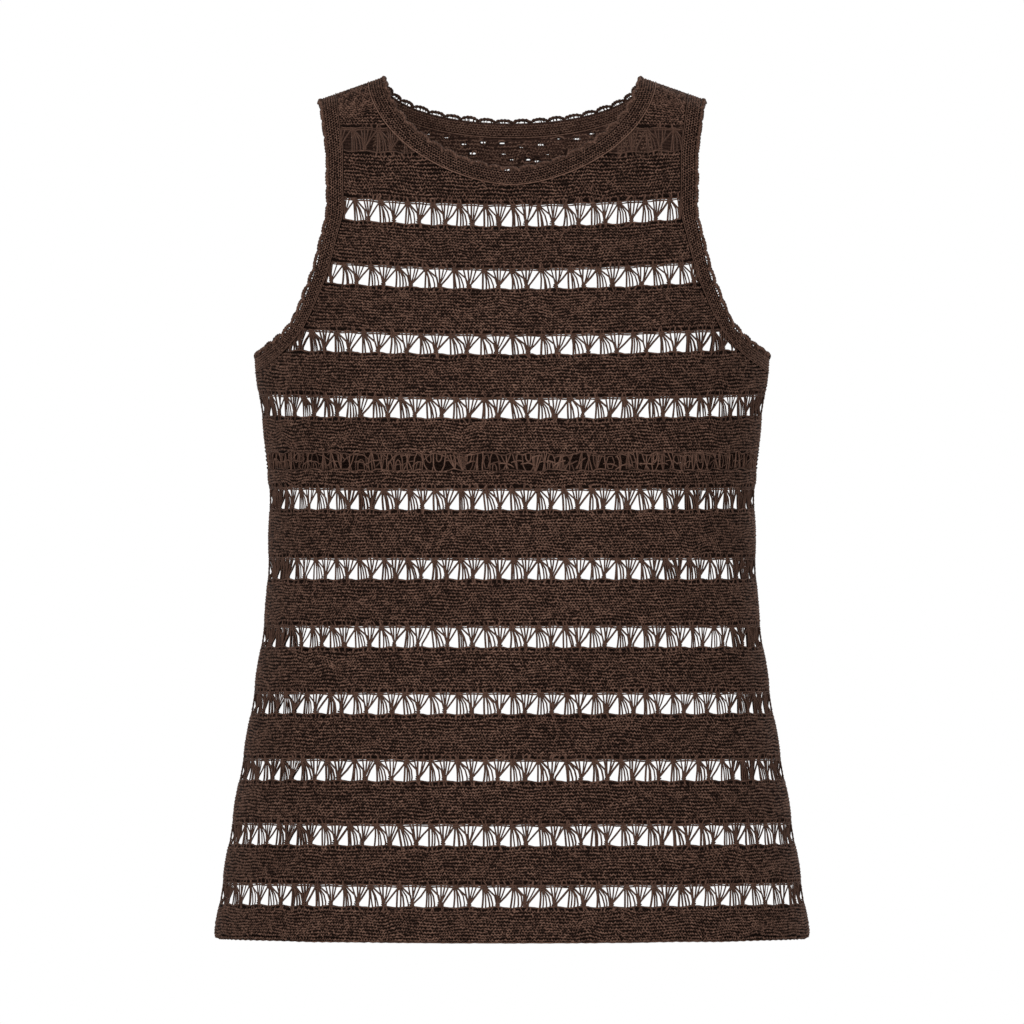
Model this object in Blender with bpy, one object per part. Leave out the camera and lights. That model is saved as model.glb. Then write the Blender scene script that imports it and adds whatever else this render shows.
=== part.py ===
"""A sleeveless openwork knit top in its worn shape, built from the pieces that its maker cuts and sews:
front, back, neckband, two armhole bands and the scalloped edging along each band.

Metres, +Z up. The front faces -Y. The origin lies midway between the shoulders that carry the top, at
the height of the shoulder line's neck end. A point of the cloth is named by its level, which is the
way down from the shoulder seam along the cloth, and by its reach, which is the way out from the
centre line along the course of knitting at that level.
"""

import bisect
import functools
import math
from typing import NamedTuple

import bpy
from mathutils import Vector
from mathutils.geometry import delaunay_2d_cdt

FRONT = -1
BACK = 1

# Cloth and trims
CLOTH_THICKNESS = 0.0018
BAND_THICKNESS = 0.0026
BAND_WIDTH = 0.0098
EDGING_THICKNESS = 0.0018
SEAM_GAP = 0.0003
SCALLOP_LENGTH = 0.0120
SCALLOP_RISE = 0.0030
SCALLOP_ROOT = 0.0006

# Shoulders and neck
NECK_HALF_WIDTH = 0.0940
NECK_POINT = 0.0805
FRONT_NECK_DEPTH = 0.0724
BACK_NECK_DEPTH = 0.0400
FRONT_NECK_CURVE = 1.74
BACK_NECK_CURVE = 2.05

# Lace: the gap left in each fan, as shares of the fan's width and height, from the top knot
LACE_HEIGHT = 0.0215
FAN_TOP = 0.0036
FAN_BOTTOM = 0.0034
GAP_LEFT = -0.44
GAP_RIGHT = -0.06
GAP_TIP_WIDTH = 0.0014
GAP_MARGIN = 0.0035
BACK_GAP_EVERY = 4


class Section(NamedTuple):
    """One level of the worn shape. Squareness is the exponent of the superellipse that its course
    follows, slope is the fall of the shoulder beyond the neck, and dip is how far the course sags
    from the side to the centre."""

    level: float
    height: float
    half_width: float
    front_depth: float
    back_depth: float
    squareness: float
    slope: float
    dip: float


SECTIONS = (
    Section(0.000, 0.0000, 0.1500, 0.0000, 0.0000, 2.30, 0.354, 0.0000),
    Section(0.010, -0.0014, 0.1500, 0.0115, 0.0110, 2.30, 0.350, 0.0000),
    Section(0.020, -0.0050, 0.1505, 0.0215, 0.0210, 2.30, 0.320, 0.0000),
    Section(0.030, -0.0110, 0.1510, 0.0300, 0.0300, 2.30, 0.240, 0.0000),
    Section(0.042, -0.0200, 0.1515, 0.0375, 0.0390, 2.30, 0.110, 0.0006),
    Section(0.060, -0.0365, 0.1520, 0.0475, 0.0510, 2.30, 0.000, 0.0030),
    Section(0.085, -0.0610, 0.1520, 0.0600, 0.0640, 2.30, 0.000, 0.0075),
    Section(0.109, -0.0850, 0.1525, 0.0715, 0.0740, 2.28, 0.000, 0.0095),
    Section(0.139, -0.1150, 0.1550, 0.0850, 0.0820, 2.26, 0.000, 0.0080),
    Section(0.174, -0.1500, 0.1615, 0.0985, 0.0860, 2.24, 0.000, 0.0060),
    Section(0.214, -0.1900, 0.1670, 0.1100, 0.0860, 2.22, 0.000, 0.0035),
    Section(0.259, -0.2350, 0.1618, 0.1140, 0.0820, 2.22, 0.000, 0.0016),
    Section(0.304, -0.2800, 0.1584, 0.1100, 0.0775, 2.20, 0.000, 0.0008),
    Section(0.359, -0.3350, 0.1598, 0.1045, 0.0755, 2.20, 0.000, 0.0000),
    Section(0.424, -0.4000, 0.1678, 0.1030, 0.0800, 2.20, 0.000, 0.0000),
    Section(0.504, -0.4800, 0.1812, 0.1085, 0.0940, 2.20, 0.000, 0.0004),
    Section(0.590, -0.5660, 0.1948, 0.1165, 0.1080, 2.20, 0.000, 0.0020),
)
HEM_LEVEL = SECTIONS[-1].level


class LaceRow(NamedTuple):
    """A row of fans: the level of its upper edge and the width of one fan."""

    top: float
    pitch: float


LACE_ROWS = (
    LaceRow(0.0528, 0.0176),
    LaceRow(0.0962, 0.0174),
    LaceRow(0.1397, 0.0190),
    LaceRow(0.1855, 0.0198),
    LaceRow(0.2294, 0.0184),
    LaceRow(0.2905, 0.0170),
    LaceRow(0.3366, 0.0172),
    LaceRow(0.3811, 0.0174),
    LaceRow(0.4248, 0.0177),
    LaceRow(0.4684, 0.0178),
    LaceRow(0.5104, 0.0181),
    LaceRow(0.5497, 0.0187),
)


class ArmholePoint(NamedTuple):
    """A point of the armhole seam as seen from the front."""

    out: float
    height: float


ARMHOLE_SEAM = (
    ArmholePoint(0.1155, -0.0124),
    ArmholePoint(0.1132, -0.0300),
    ArmholePoint(0.1105, -0.0580),
    ArmholePoint(0.1105, -0.0860),
    ArmholePoint(0.1148, -0.1080),
    ArmholePoint(0.1235, -0.1375),
    ArmholePoint(0.1347, -0.1630),
    ArmholePoint(0.1480, -0.1795),
    ArmholePoint(0.1610, -0.1905),
    ArmholePoint(0.1669, -0.1950),
)

# How finely the curves are cut into straight edges
COURSE_SAMPLES = 72
NECK_SAMPLES = 240
ARMHOLE_SAMPLES = 160
SHOULDER_STATIONS = 3
HEM_STATIONS = 26
BAND_STEPS = 2
CLOTH_STEP = 0.020
CLEAR_OF_GAPS = 0.4 * CLOTH_STEP
CLEAR_OF_EDGE = 0.3 * CLOTH_STEP
NORMAL_STEP = 0.0002
HALVINGS = 40
MERGE_DISTANCE = 1e-7
SHARP_EDGE = math.radians(50)

YARN_COLOUR = (0.052, 0.030, 0.023, 1.0)
YARN_ROUGHNESS = 0.88


def smooth_between(keys, values, at):
    """A smooth curve through the values at the keys, with no overshoot beyond neighbouring values."""
    i = min(max(bisect.bisect_right(keys, at) - 1, 0), len(keys) - 2)
    rises = [
        (values[j + 1] - values[j]) / (keys[j + 1] - keys[j])
        for j in range(len(keys) - 1)
    ]

    def tangent(j):
        if j in (0, len(keys) - 1):
            near, far = (rises[0], rises[1]) if j == 0 else (rises[-1], rises[-2])
            slope = (3 * near - far) / 2
            return slope if slope * near > 0 else 0.0
        before, after = rises[j - 1], rises[j]
        return 0.0 if before * after <= 0 else 2 * before * after / (before + after)

    span = keys[i + 1] - keys[i]
    t = (at - keys[i]) / span
    return (
        (1 + 2 * t) * (1 - t) ** 2 * values[i]
        + t * (1 - t) ** 2 * span * tangent(i)
        + t * t * (3 - 2 * t) * values[i + 1]
        + t * t * (t - 1) * span * tangent(i + 1)
    )


@functools.lru_cache(maxsize=None)
def section_at(level):
    keys = [s.level for s in SECTIONS]
    columns = zip(*SECTIONS)
    return Section(*[smooth_between(keys, column, level) for column in columns])


def course_point(side, level, turn):
    """The point of the course at this level that lies turn radians round from the centre line."""
    s = section_at(level)
    power = 2 / s.squareness
    out = s.half_width * math.copysign(abs(math.sin(turn)) ** power, turn)
    depth = s.front_depth if side == FRONT else s.back_depth
    shoulder_fall = s.slope * max(0.0, abs(out) - NECK_POINT)
    sag = s.dip * (1 - (out / s.half_width) ** 2)
    return Vector(
        (out, side * depth * abs(math.cos(turn)) ** power, s.height - shoulder_fall - sag)
    )


@functools.lru_cache(maxsize=None)
def course_table(side, level):
    """Turns from the centre line to the side, and the reach at each of them."""
    turns = [math.pi / 2 * i / COURSE_SAMPLES for i in range(COURSE_SAMPLES + 1)]
    points = [course_point(side, level, turn) for turn in turns]
    reaches = [0.0]
    for a, b in zip(points, points[1:]):
        reaches.append(reaches[-1] + (b - a).length)
    return turns, reaches


def side_reach(side, level):
    return course_table(side, level)[1][-1]


def turn_of(side, reach, level):
    turns, reaches = course_table(side, level)
    wanted = min(abs(reach), reaches[-1])
    i = min(max(bisect.bisect_right(reaches, wanted) - 1, 0), COURSE_SAMPLES - 1)
    share = (wanted - reaches[i]) / (reaches[i + 1] - reaches[i])
    return math.copysign(turns[i] + share * (turns[i + 1] - turns[i]), reach)


def cloth_point(side, reach, level):
    return course_point(side, level, turn_of(side, reach, level))


def cloth_normal(side, reach, level):
    """The direction out of the garment at this point of the cloth."""
    limit = side_reach(side, level)
    left, right = max(reach - NORMAL_STEP, -limit), min(reach + NORMAL_STEP, limit)
    above, below = max(level - NORMAL_STEP, 0.0), min(level + NORMAL_STEP, HEM_LEVEL)
    across = cloth_point(side, right, level) - cloth_point(side, left, level)
    down = cloth_point(side, reach, below) - cloth_point(side, reach, above)
    normal = across.cross(down).normalized()
    return normal * side


def reach_of(side, out, level):
    """The reach of the point of this course that lies this far out from the centre plane."""
    s = section_at(level)
    turn = math.asin(min(1.0, abs(out) / s.half_width) ** (s.squareness / 2))
    turns, reaches = course_table(side, level)
    i = min(int(turn / (math.pi / 2) * COURSE_SAMPLES), COURSE_SAMPLES - 1)
    share = (turn - turns[i]) / (turns[i + 1] - turns[i])
    return math.copysign(reaches[i] + share * (reaches[i + 1] - reaches[i]), out)


def level_of(out, height):
    """The level whose course has this height where it lies this far out, the same front and back."""
    low, high = 0.0, HEM_LEVEL
    for _ in range(HALVINGS):
        middle = (low + high) / 2
        s = section_at(middle)
        fall = s.slope * max(0.0, abs(out) - NECK_POINT)
        sag = s.dip * (1 - min(1.0, abs(out) / s.half_width) ** 2)
        if s.height - fall - sag > height:
            low = middle
        else:
            high = middle
    return (low + high) / 2


def seam_stations(side, trace):
    """Evenly spaced points along a dense trace of (reach, level) pairs, BAND_STEPS to a scallop."""
    places = [cloth_point(side, *pair) for pair in trace]
    along = [0.0]
    for a, b in zip(places, places[1:]):
        along.append(along[-1] + (b - a).length)
    steps = BAND_STEPS * round(along[-1] / SCALLOP_LENGTH)
    chosen = []
    for k in range(steps + 1):
        wanted = along[-1] * k / steps
        i = min(max(bisect.bisect_right(along, wanted) - 1, 0), len(along) - 2)
        share = (wanted - along[i]) / (along[i + 1] - along[i])
        (r0, l0), (r1, l1) = trace[i], trace[i + 1]
        chosen.append((r0 + share * (r1 - r0), l0 + share * (l1 - l0)))
    return chosen


def neck_trace(side):
    """The neck seam from the left shoulder to the right one, as a dense trace."""
    depth = FRONT_NECK_DEPTH if side == FRONT else BACK_NECK_DEPTH
    curve = FRONT_NECK_CURVE if side == FRONT else BACK_NECK_CURVE
    end_height = -section_at(0.0).slope * (NECK_HALF_WIDTH - NECK_POINT)
    trace = []
    for i in range(NECK_SAMPLES + 1):
        turn = math.pi * i / NECK_SAMPLES
        out = -NECK_HALF_WIDTH * math.copysign(
            abs(math.cos(turn)) ** (2 / curve), math.cos(turn)
        )
        down = (depth + end_height) * math.sin(turn) ** (2 / curve)
        level = level_of(out, end_height - down) if 0 < i < NECK_SAMPLES else 0.0
        trace.append((reach_of(side, out, level), level))
    return trace


def armhole_trace(side):
    """The right armhole's seam from the shoulder seam down to the side seam, as a dense trace."""
    along = [0.0]
    for a, b in zip(ARMHOLE_SEAM, ARMHOLE_SEAM[1:]):
        along.append(along[-1] + math.hypot(b.out - a.out, b.height - a.height))
    outs = [p.out for p in ARMHOLE_SEAM]
    heights = [p.height for p in ARMHOLE_SEAM]
    trace = []
    for i in range(ARMHOLE_SAMPLES + 1):
        at = along[-1] * i / ARMHOLE_SAMPLES
        out = smooth_between(along, outs, at)
        level = level_of(out, smooth_between(along, heights, at)) if i else 0.0
        last = i == ARMHOLE_SAMPLES
        reach = side_reach(side, level) if last else reach_of(side, out, level)
        trace.append((reach, level))
    return trace


def gap_rows(side):
    """The levels of the top and bottom of each row of gaps, and the width of its fans.

    The back has no lace at the shoulders, where its neck is high."""
    rows = LACE_ROWS if side == FRONT else LACE_ROWS[1:]
    return [
        (row.top + FAN_TOP, row.top + LACE_HEIGHT - FAN_BOTTOM, row.pitch) for row in rows
    ]


def panel_outline(side):
    """The cut edge of a panel as (reach, level) pairs, once round, with the seam gaps taken off."""
    half_gap = SEAM_GAP / 2
    neck = [(r, max(l, half_gap)) for r, l in seam_stations(side, neck_trace(side))]
    arm = seam_stations(side, armhole_trace(side))
    arm[0] = (arm[0][0], half_gap)
    arm[-1] = (arm[-1][0] - half_gap, arm[-1][1])
    neck_end, arm_start = neck[-1], arm[0]
    shoulder = [
        (neck_end[0] + (arm_start[0] - neck_end[0]) * i / SHOULDER_STATIONS, half_gap)
        for i in range(1, SHOULDER_STATIONS)
    ]
    seam_levels = sorted(
        level
        for top, bottom, _ in gap_rows(side)
        for level in (top, bottom)
        if level > arm[-1][1] + GAP_MARGIN
    )
    side_seam = [(side_reach(side, level) - half_gap, level) for level in seam_levels]
    hem_end = side_reach(side, HEM_LEVEL) - half_gap
    hem = [
        (hem_end * (1 - 2 * i / HEM_STATIONS), HEM_LEVEL) for i in range(HEM_STATIONS + 1)
    ]
    right = shoulder + arm + side_seam
    left = [(-reach, level) for reach, level in reversed(right)]
    return neck + right + hem + left


def inside(outline, point):
    """Whether the point lies inside the closed outline."""
    x, y = point
    odd = False
    for (x0, y0), (x1, y1) in zip(outline, outline[1:] + outline[:1]):
        if (y0 > y) != (y1 > y) and x < x0 + (y - y0) * (x1 - x0) / (y1 - y0):
            odd = not odd
    return odd


def clearance(outline, point):
    """The distance from the point to the nearest edge of the outline."""
    nearest = math.inf
    px, py = point
    for (x0, y0), (x1, y1) in zip(outline, outline[1:] + outline[:1]):
        dx, dy = x1 - x0, y1 - y0
        t = max(0.0, min(1.0, ((px - x0) * dx + (py - y0) * dy) / (dx * dx + dy * dy)))
        nearest = min(nearest, math.hypot(px - x0 - t * dx, py - y0 - t * dy))
    return nearest


def well_inside(outline, point, margin):
    return inside(outline, point) and clearance(outline, point) > margin


def lace_gaps(side, outline):
    """The gap beside each fan, as four (reach, level) corners."""
    every = 1 if side == FRONT else BACK_GAP_EVERY
    gaps = []
    for top, bottom, pitch in gap_rows(side):
        last = int(side_reach(side, bottom) / pitch) + 1
        for k in range(-last, last + 1):
            if k % every:
                continue
            knot = k * pitch
            left, right = knot + GAP_LEFT * pitch, knot + GAP_RIGHT * pitch
            gap = [
                (left, bottom),
                (right, bottom),
                (right, top),
                (right - GAP_TIP_WIDTH, top),
            ]
            if all(well_inside(outline, corner, GAP_MARGIN) for corner in gap):
                gaps.append(gap)
    return gaps


def shape_points(side, outline, gaps):
    """Points inside the panel that make its triangles follow the curve of the body."""
    taken = [corner for gap in gaps for corner in gap]
    levels = [level for top, bottom, _ in gap_rows(side) for level in (top, bottom)]
    levels += [s.level for s in SECTIONS if 0 < s.level < LACE_ROWS[0].top]
    points = []
    for level in levels:
        steps = int(side_reach(side, level) / CLOTH_STEP) + 1
        for k in range(-steps, steps + 1):
            point = (k * CLOTH_STEP, level)
            clear = all(
                math.hypot(point[0] - x, point[1] - y) > CLEAR_OF_GAPS for x, y in taken
            )
            if clear and well_inside(outline, point, CLEAR_OF_EDGE):
                points.append(point)
    return points


def flat_triangles(outline, gaps, extra):
    """Triangles of the flat panel between its outline and its gaps."""
    rings = [outline] + gaps
    coords, edges = [], []
    for ring in rings:
        first = len(coords)
        coords += [Vector(point) for point in ring]
        edges += [(first + i, first + (i + 1) % len(ring)) for i in range(len(ring))]
    coords += [Vector(point) for point in extra]
    made = delaunay_2d_cdt(coords, edges, [], 1, MERGE_DISTANCE)
    corners, faces = [tuple(v) for v in made[0]], made[2]
    boxes = [(min(x for x, _ in g), max(x for x, _ in g), g) for g in gaps]
    kept = []
    for face in faces:
        middle = tuple(sum(corners[i][axis] for i in face) / 3 for axis in (0, 1))
        in_gap = any(lo < middle[0] < hi and inside(g, middle) for lo, hi, g in boxes)
        if not in_gap and inside(outline, middle):
            kept.append(tuple(face))
    return corners, kept


def close_wall(outer, inner, faces):
    """Vertices and faces of a closed wall between two copies of a surface."""
    count = len(outer)
    walls = {}
    for face in faces:
        for a, b in zip(face, face[1:] + face[:1]):
            walls[(a, b)] = (b, a) not in walls
            if not walls[(a, b)]:
                walls[(b, a)] = False
    rim = [
        face
        for (a, b), open_edge in walls.items()
        if open_edge
        for face in ((b, a, a + count), (b, a + count, b + count))
    ]
    back = [tuple(i + count for i in reversed(face)) for face in faces]
    return outer + inner, list(faces) + back + rim


def add_piece(name, vertices, faces):
    mesh = bpy.data.meshes.new(name)
    mesh.from_pydata([tuple(v) for v in vertices], [], faces)
    mesh.validate()
    piece = bpy.data.objects.new(name, mesh)
    bpy.context.scene.collection.objects.link(piece)
    mesh.materials.append(yarn_material(name))
    mesh.shade_smooth()
    mesh.set_sharp_from_angle(angle=SHARP_EDGE)


def yarn_material(name):
    material = bpy.data.materials.new(name + "_yarn")
    material.use_nodes = True
    shader = material.node_tree.nodes["Principled BSDF"]
    shader.inputs["Base Color"].default_value = YARN_COLOUR
    shader.inputs["Roughness"].default_value = YARN_ROUGHNESS
    shader.inputs["Metallic"].default_value = 0.0
    return material


def build_panel(name, side):
    outline = panel_outline(side)
    gaps = lace_gaps(side, outline)
    corners, faces = flat_triangles(outline, gaps, shape_points(side, outline, gaps))
    if side == FRONT:
        faces = [tuple(reversed(face)) for face in faces]
    outer, inner = [], []
    for reach, level in corners:
        place, normal = cloth_point(side, reach, level), cloth_normal(side, reach, level)
        outer.append(place + normal * CLOTH_THICKNESS / 2)
        inner.append(place - normal * CLOTH_THICKNESS / 2)
    vertices, faces = close_wall(outer, inner, faces)
    add_piece(name, vertices, faces)


class Station(NamedTuple):
    """A place on a seam, the direction out of the cloth there, and the one into the opening."""

    place: Vector
    outward: Vector
    inward: Vector


def seam_ring(front, back):
    """The stations all round an opening. Its two seams start and end at the same points."""
    steps = [(FRONT, pair) for pair in front[:-1]] + [(BACK, pair) for pair in back[:0:-1]]
    places = [cloth_point(side, *pair) for side, pair in steps]
    middle = sum(places, Vector()) / len(places)
    ring = []
    for i, (side, pair) in enumerate(steps):
        outward = cloth_normal(side, *pair)
        run = places[(i + 1) % len(places)] - places[i - 1]
        inward = outward.cross(run).normalized()
        if inward.dot(middle - places[i]) < 0:
            inward.negate()
        ring.append(Station(places[i], outward, inward))
    return ring


def with_midpoints(ring):
    """The ring with a station added halfway along each of its straight edges."""
    finer = []
    for a, b in zip(ring, ring[1:] + ring[:1]):
        finer += [a, Station(*[p.lerp(q, 0.5) for p, q in zip(a, b)])]
    return finer


def build_ring(name, ring, start, ends, thickness):
    """A flat ring along a seam, from one width into the opening to another at each station."""
    count = len(ring)
    rows = [[], [], [], []]
    for station, end in zip(ring, ends):
        near, far = (station.place + station.inward * width for width in (start, end))
        half = station.outward * thickness / 2
        for row, point in zip(rows, (near + half, far + half, far - half, near - half)):
            row.append(point)
    vertices = [point for row in rows for point in row]
    faces = []
    for r in range(4):
        for k in range(count):
            a, b = r * count + k, r * count + (k + 1) % count
            c, d = (r + 1) % 4 * count + k, (r + 1) % 4 * count + (k + 1) % count
            faces.append((a, b, d, c))
    if signed_volume(vertices, faces) < 0:
        faces = [tuple(reversed(face)) for face in faces]
    add_piece(name, vertices, faces)


def signed_volume(vertices, faces):
    """Six times the volume inside the faces, negative where they point inwards."""
    return sum(
        vertices[face[0]].dot(vertices[face[i]].cross(vertices[face[i + 1]]))
        for face in faces
        for i in range(1, len(face) - 1)
    )


def build_trim(band_name, edging_name, front, back):
    """A band round an opening, and the scalloped edging along the band's free edge."""
    ring = seam_ring(front, back)
    build_ring(band_name, ring, SEAM_GAP, [BAND_WIDTH] * len(ring), BAND_THICKNESS)
    finer = with_midpoints(ring)
    steps = 2 * BAND_STEPS
    edge = BAND_WIDTH + SEAM_GAP
    ends = [
        edge + SCALLOP_ROOT + SCALLOP_RISE * math.sin(math.pi * (k % steps) / steps)
        for k in range(len(finer))
    ]
    build_ring(edging_name, finer, edge, ends, EDGING_THICKNESS)


def mirrored(stations):
    return [(-reach, level) for reach, level in stations]


def clear_scene():
    for thing in list(bpy.data.objects):
        bpy.data.objects.remove(thing)


def main():
    clear_scene()
    neck, armhole = {}, {}
    for name, side in (("front", FRONT), ("back", BACK)):
        build_panel(name, side)
        neck[side] = seam_stations(side, neck_trace(side))
        armhole[side] = seam_stations(side, armhole_trace(side))
    build_trim("neckband", "neck_edging", neck[FRONT], neck[BACK])
    build_trim("armhole_band_left", "armhole_edging_left", armhole[FRONT], armhole[BACK])
    build_trim(
        "armhole_band_right",
        "armhole_edging_right",
        mirrored(armhole[FRONT]),
        mirrored(armhole[BACK]),
    )


main()
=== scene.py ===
"""The looks of the knit top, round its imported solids: plain strips of wavy courses, rows of lace fans
with their eyelets, bands of small stitches round the openings and a scalloped edging on each band.

Metres, +Z up. The front faces -Y. A point of the cloth is named by its reach, which is the way out from
the centre line along a course, by its level, which is the way down from the shoulder seam along the
cloth, and by its lift, which is its height over the middle of the cloth. Left is +X.
"""

import math
from typing import NamedTuple

import bpy
import numpy as np
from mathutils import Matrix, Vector
from mathutils.geometry import delaunay_2d_cdt


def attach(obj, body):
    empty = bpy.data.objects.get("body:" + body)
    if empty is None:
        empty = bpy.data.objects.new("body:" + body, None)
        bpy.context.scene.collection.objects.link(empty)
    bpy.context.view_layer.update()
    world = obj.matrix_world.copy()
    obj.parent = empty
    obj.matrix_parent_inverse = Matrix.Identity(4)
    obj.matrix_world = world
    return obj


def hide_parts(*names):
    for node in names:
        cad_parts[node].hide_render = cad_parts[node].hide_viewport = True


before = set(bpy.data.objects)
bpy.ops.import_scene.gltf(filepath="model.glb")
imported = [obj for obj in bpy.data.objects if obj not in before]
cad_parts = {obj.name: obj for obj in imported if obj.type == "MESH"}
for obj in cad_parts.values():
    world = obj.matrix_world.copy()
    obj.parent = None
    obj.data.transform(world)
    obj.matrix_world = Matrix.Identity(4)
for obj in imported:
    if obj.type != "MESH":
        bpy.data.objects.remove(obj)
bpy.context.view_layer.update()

MM = 0.001
FRONT = -1
BACK = 1

# The worn shape, as the solids have it
NECK_HALF_WIDTH = 0.0940
NECK_POINT = 0.0805
NECK_DEPTH = {FRONT: 0.0724, BACK: 0.0400}
NECK_CURVE = {FRONT: 1.74, BACK: 2.05}
BAND_WIDTH = 0.0098
SCALLOP_LENGTH = 0.0120
SCALLOP_RISE = 0.0036


class Section(NamedTuple):
    """One level of the worn shape. Squareness is the exponent of the superellipse that its course
    follows, slope is the fall of the shoulder beyond the neck, and dip is how far the course sags
    from the side to the centre."""

    level: float
    height: float
    half_width: float
    front_depth: float
    back_depth: float
    squareness: float
    slope: float
    dip: float


SECTIONS = (
    Section(0.000, 0.0000, 0.1500, 0.0000, 0.0000, 2.30, 0.354, 0.0000),
    Section(0.010, -0.0014, 0.1500, 0.0115, 0.0110, 2.30, 0.350, 0.0000),
    Section(0.020, -0.0050, 0.1505, 0.0215, 0.0210, 2.30, 0.320, 0.0000),
    Section(0.030, -0.0110, 0.1510, 0.0300, 0.0300, 2.30, 0.240, 0.0000),
    Section(0.042, -0.0200, 0.1515, 0.0375, 0.0390, 2.30, 0.110, 0.0006),
    Section(0.060, -0.0365, 0.1520, 0.0475, 0.0510, 2.30, 0.000, 0.0030),
    Section(0.085, -0.0610, 0.1520, 0.0600, 0.0640, 2.30, 0.000, 0.0075),
    Section(0.109, -0.0850, 0.1525, 0.0715, 0.0740, 2.28, 0.000, 0.0095),
    Section(0.139, -0.1150, 0.1550, 0.0850, 0.0820, 2.26, 0.000, 0.0080),
    Section(0.174, -0.1500, 0.1615, 0.0985, 0.0860, 2.24, 0.000, 0.0060),
    Section(0.214, -0.1900, 0.1670, 0.1100, 0.0860, 2.22, 0.000, 0.0035),
    Section(0.259, -0.2350, 0.1618, 0.1140, 0.0820, 2.22, 0.000, 0.0016),
    Section(0.304, -0.2800, 0.1584, 0.1100, 0.0775, 2.20, 0.000, 0.0008),
    Section(0.359, -0.3350, 0.1598, 0.1045, 0.0755, 2.20, 0.000, 0.0000),
    Section(0.424, -0.4000, 0.1678, 0.1030, 0.0800, 2.20, 0.000, 0.0000),
    Section(0.504, -0.4800, 0.1812, 0.1085, 0.0940, 2.20, 0.000, 0.0004),
    Section(0.590, -0.5660, 0.1948, 0.1165, 0.1080, 2.20, 0.000, 0.0020),
)
HEM_LEVEL = SECTIONS[-1].level
HEM_CORNER = 0.0030
HEM_STEPS = np.array([1.0, 0.55, 0.25, 0.08])


class ArmholePoint(NamedTuple):
    """A point of the armhole seam as seen from the front."""

    out: float
    height: float


ARMHOLE_SEAM = (
    ArmholePoint(0.1155, -0.0124),
    ArmholePoint(0.1132, -0.0300),
    ArmholePoint(0.1105, -0.0580),
    ArmholePoint(0.1105, -0.0860),
    ArmholePoint(0.1148, -0.1080),
    ArmholePoint(0.1235, -0.1375),
    ArmholePoint(0.1347, -0.1630),
    ArmholePoint(0.1480, -0.1795),
    ArmholePoint(0.1610, -0.1905),
    ArmholePoint(0.1669, -0.1950),
)


class LaceRow(NamedTuple):
    """A row of fans: the level of its upper edge and the width of one fan."""

    top: float
    pitch: float


LACE_ROWS = (
    LaceRow(0.0528, 0.0176),
    LaceRow(0.0962, 0.0174),
    LaceRow(0.1397, 0.0190),
    LaceRow(0.1855, 0.0198),
    LaceRow(0.2294, 0.0184),
    LaceRow(0.2905, 0.0170),
    LaceRow(0.3366, 0.0172),
    LaceRow(0.3811, 0.0174),
    LaceRow(0.4248, 0.0177),
    LaceRow(0.4684, 0.0178),
    LaceRow(0.5104, 0.0181),
    LaceRow(0.5497, 0.0187),
)

# The way down from the top of a row to its cords in the solids, and how far the yarn closes in on the
# lace from each of them. Then the edges of the narrow row.
UPPER_CORD = 0.0030
LOWER_CORD = 0.0187
UPPER_CLOSING = 0.8 * MM
LOWER_CLOSING = 1.3 * MM
NARROW_TOP = 0.2708
NARROW_BOTTOM = 0.2822
NARROW_STRAY = 0.8 * MM

# How finely the worn shape is tabled
LEVEL_SAMPLES = 591
TURN_SAMPLES = 181
REACH_SAMPLES = 221
TRACE_SAMPLES = 401
HALVINGS = 30
EDGE_STEP = 3.0 * MM

# The eye is far off and level with the middle of the top. The back's rows of lace stand behind the
# front's as it sees them, so that light comes straight through both. The keys and shares say where
# between the shoulder and the hem the back's rows are shifted for it.
EYE_DISTANCE = 28.0
EYE_LEVEL = 0.310
SHIFT_LEVELS = (0.0, 0.060, 0.092, 0.566, 0.590)
SHIFT_SHARES = (0.0, 0.0, 1.0, 1.0, 0.0)

# The thin ground under the stitches: the lift of its two faces and the size of its triangles. Then the
# distance between the courses of yarn, on each side and at the top of the back.
GROUND_TOP = 0.10 * MM
GROUND_BOTTOM = -0.70 * MM
GROUND_STEP = 7.0 * MM
COURSE_PITCH = {FRONT: 1.94 * MM, BACK: 2.55 * MM}
YOKE_PITCH = 2.05 * MM

# Where the full courses of a plain strip start beside lace, beside another edge, and at a seam
BELOW_LACE = 3.15 * MM
ABOVE_LACE = 3.0 * MM
EDGE_MARGIN = 1.2 * MM
SEAM_GROOVE = 0.9 * MM

# The swell of a plain strip between its edges, which fades out towards the shoulder
STRIP_SWELL = 0.8 * MM
SWELL_ROUNDNESS = 0.7
SWELL_FADE = 30 * MM

# Brightness of yarn as the crown attribute holds it, which is painted light and shade
TUBE_BRIGHT = 0.43
# The share of brightness a ribbon keeps at its sunk edges, as painted shade
RIBBON_EDGE_SHADED_SHARE = 0.25
# Painted light that lifts the yarn on the inside of the cloth, where less light reaches
INSIDE_PAINTED_LIGHT = 1.95
BRIGHT_RANGE = (0.03, 1.3)


def smooth_curve(keys, values, at):
    """A smooth curve through the values at the keys, with no overshoot, read at an array of places."""
    keys, values = np.asarray(keys, float), np.asarray(values, float)
    rises = np.diff(values) / np.diff(keys)
    product, total = rises[:-1] * rises[1:], rises[:-1] + rises[1:]
    tangents = np.zeros(len(keys))
    tangents[1:-1] = np.where(product > 0, 2 * product / np.where(product > 0, total, 1), 0)
    for end, near, far in ((0, rises[0], rises[1]), (-1, rises[-1], rises[-2])):
        slope = (3 * near - far) / 2
        tangents[end] = slope if slope * near > 0 else 0
    i = np.clip(np.searchsorted(keys, at, side="right") - 1, 0, len(keys) - 2)
    span = keys[i + 1] - keys[i]
    t = (at - keys[i]) / span
    return (
        (1 + 2 * t) * (1 - t) ** 2 * values[i]
        + t * (1 - t) ** 2 * span * tangents[i]
        + t * t * (3 - 2 * t) * values[i + 1]
        + t * t * (t - 1) * span * tangents[i + 1]
    )


def unit(vectors):
    return vectors / np.maximum(np.linalg.norm(vectors, axis=-1, keepdims=True), 1e-12)


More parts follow.
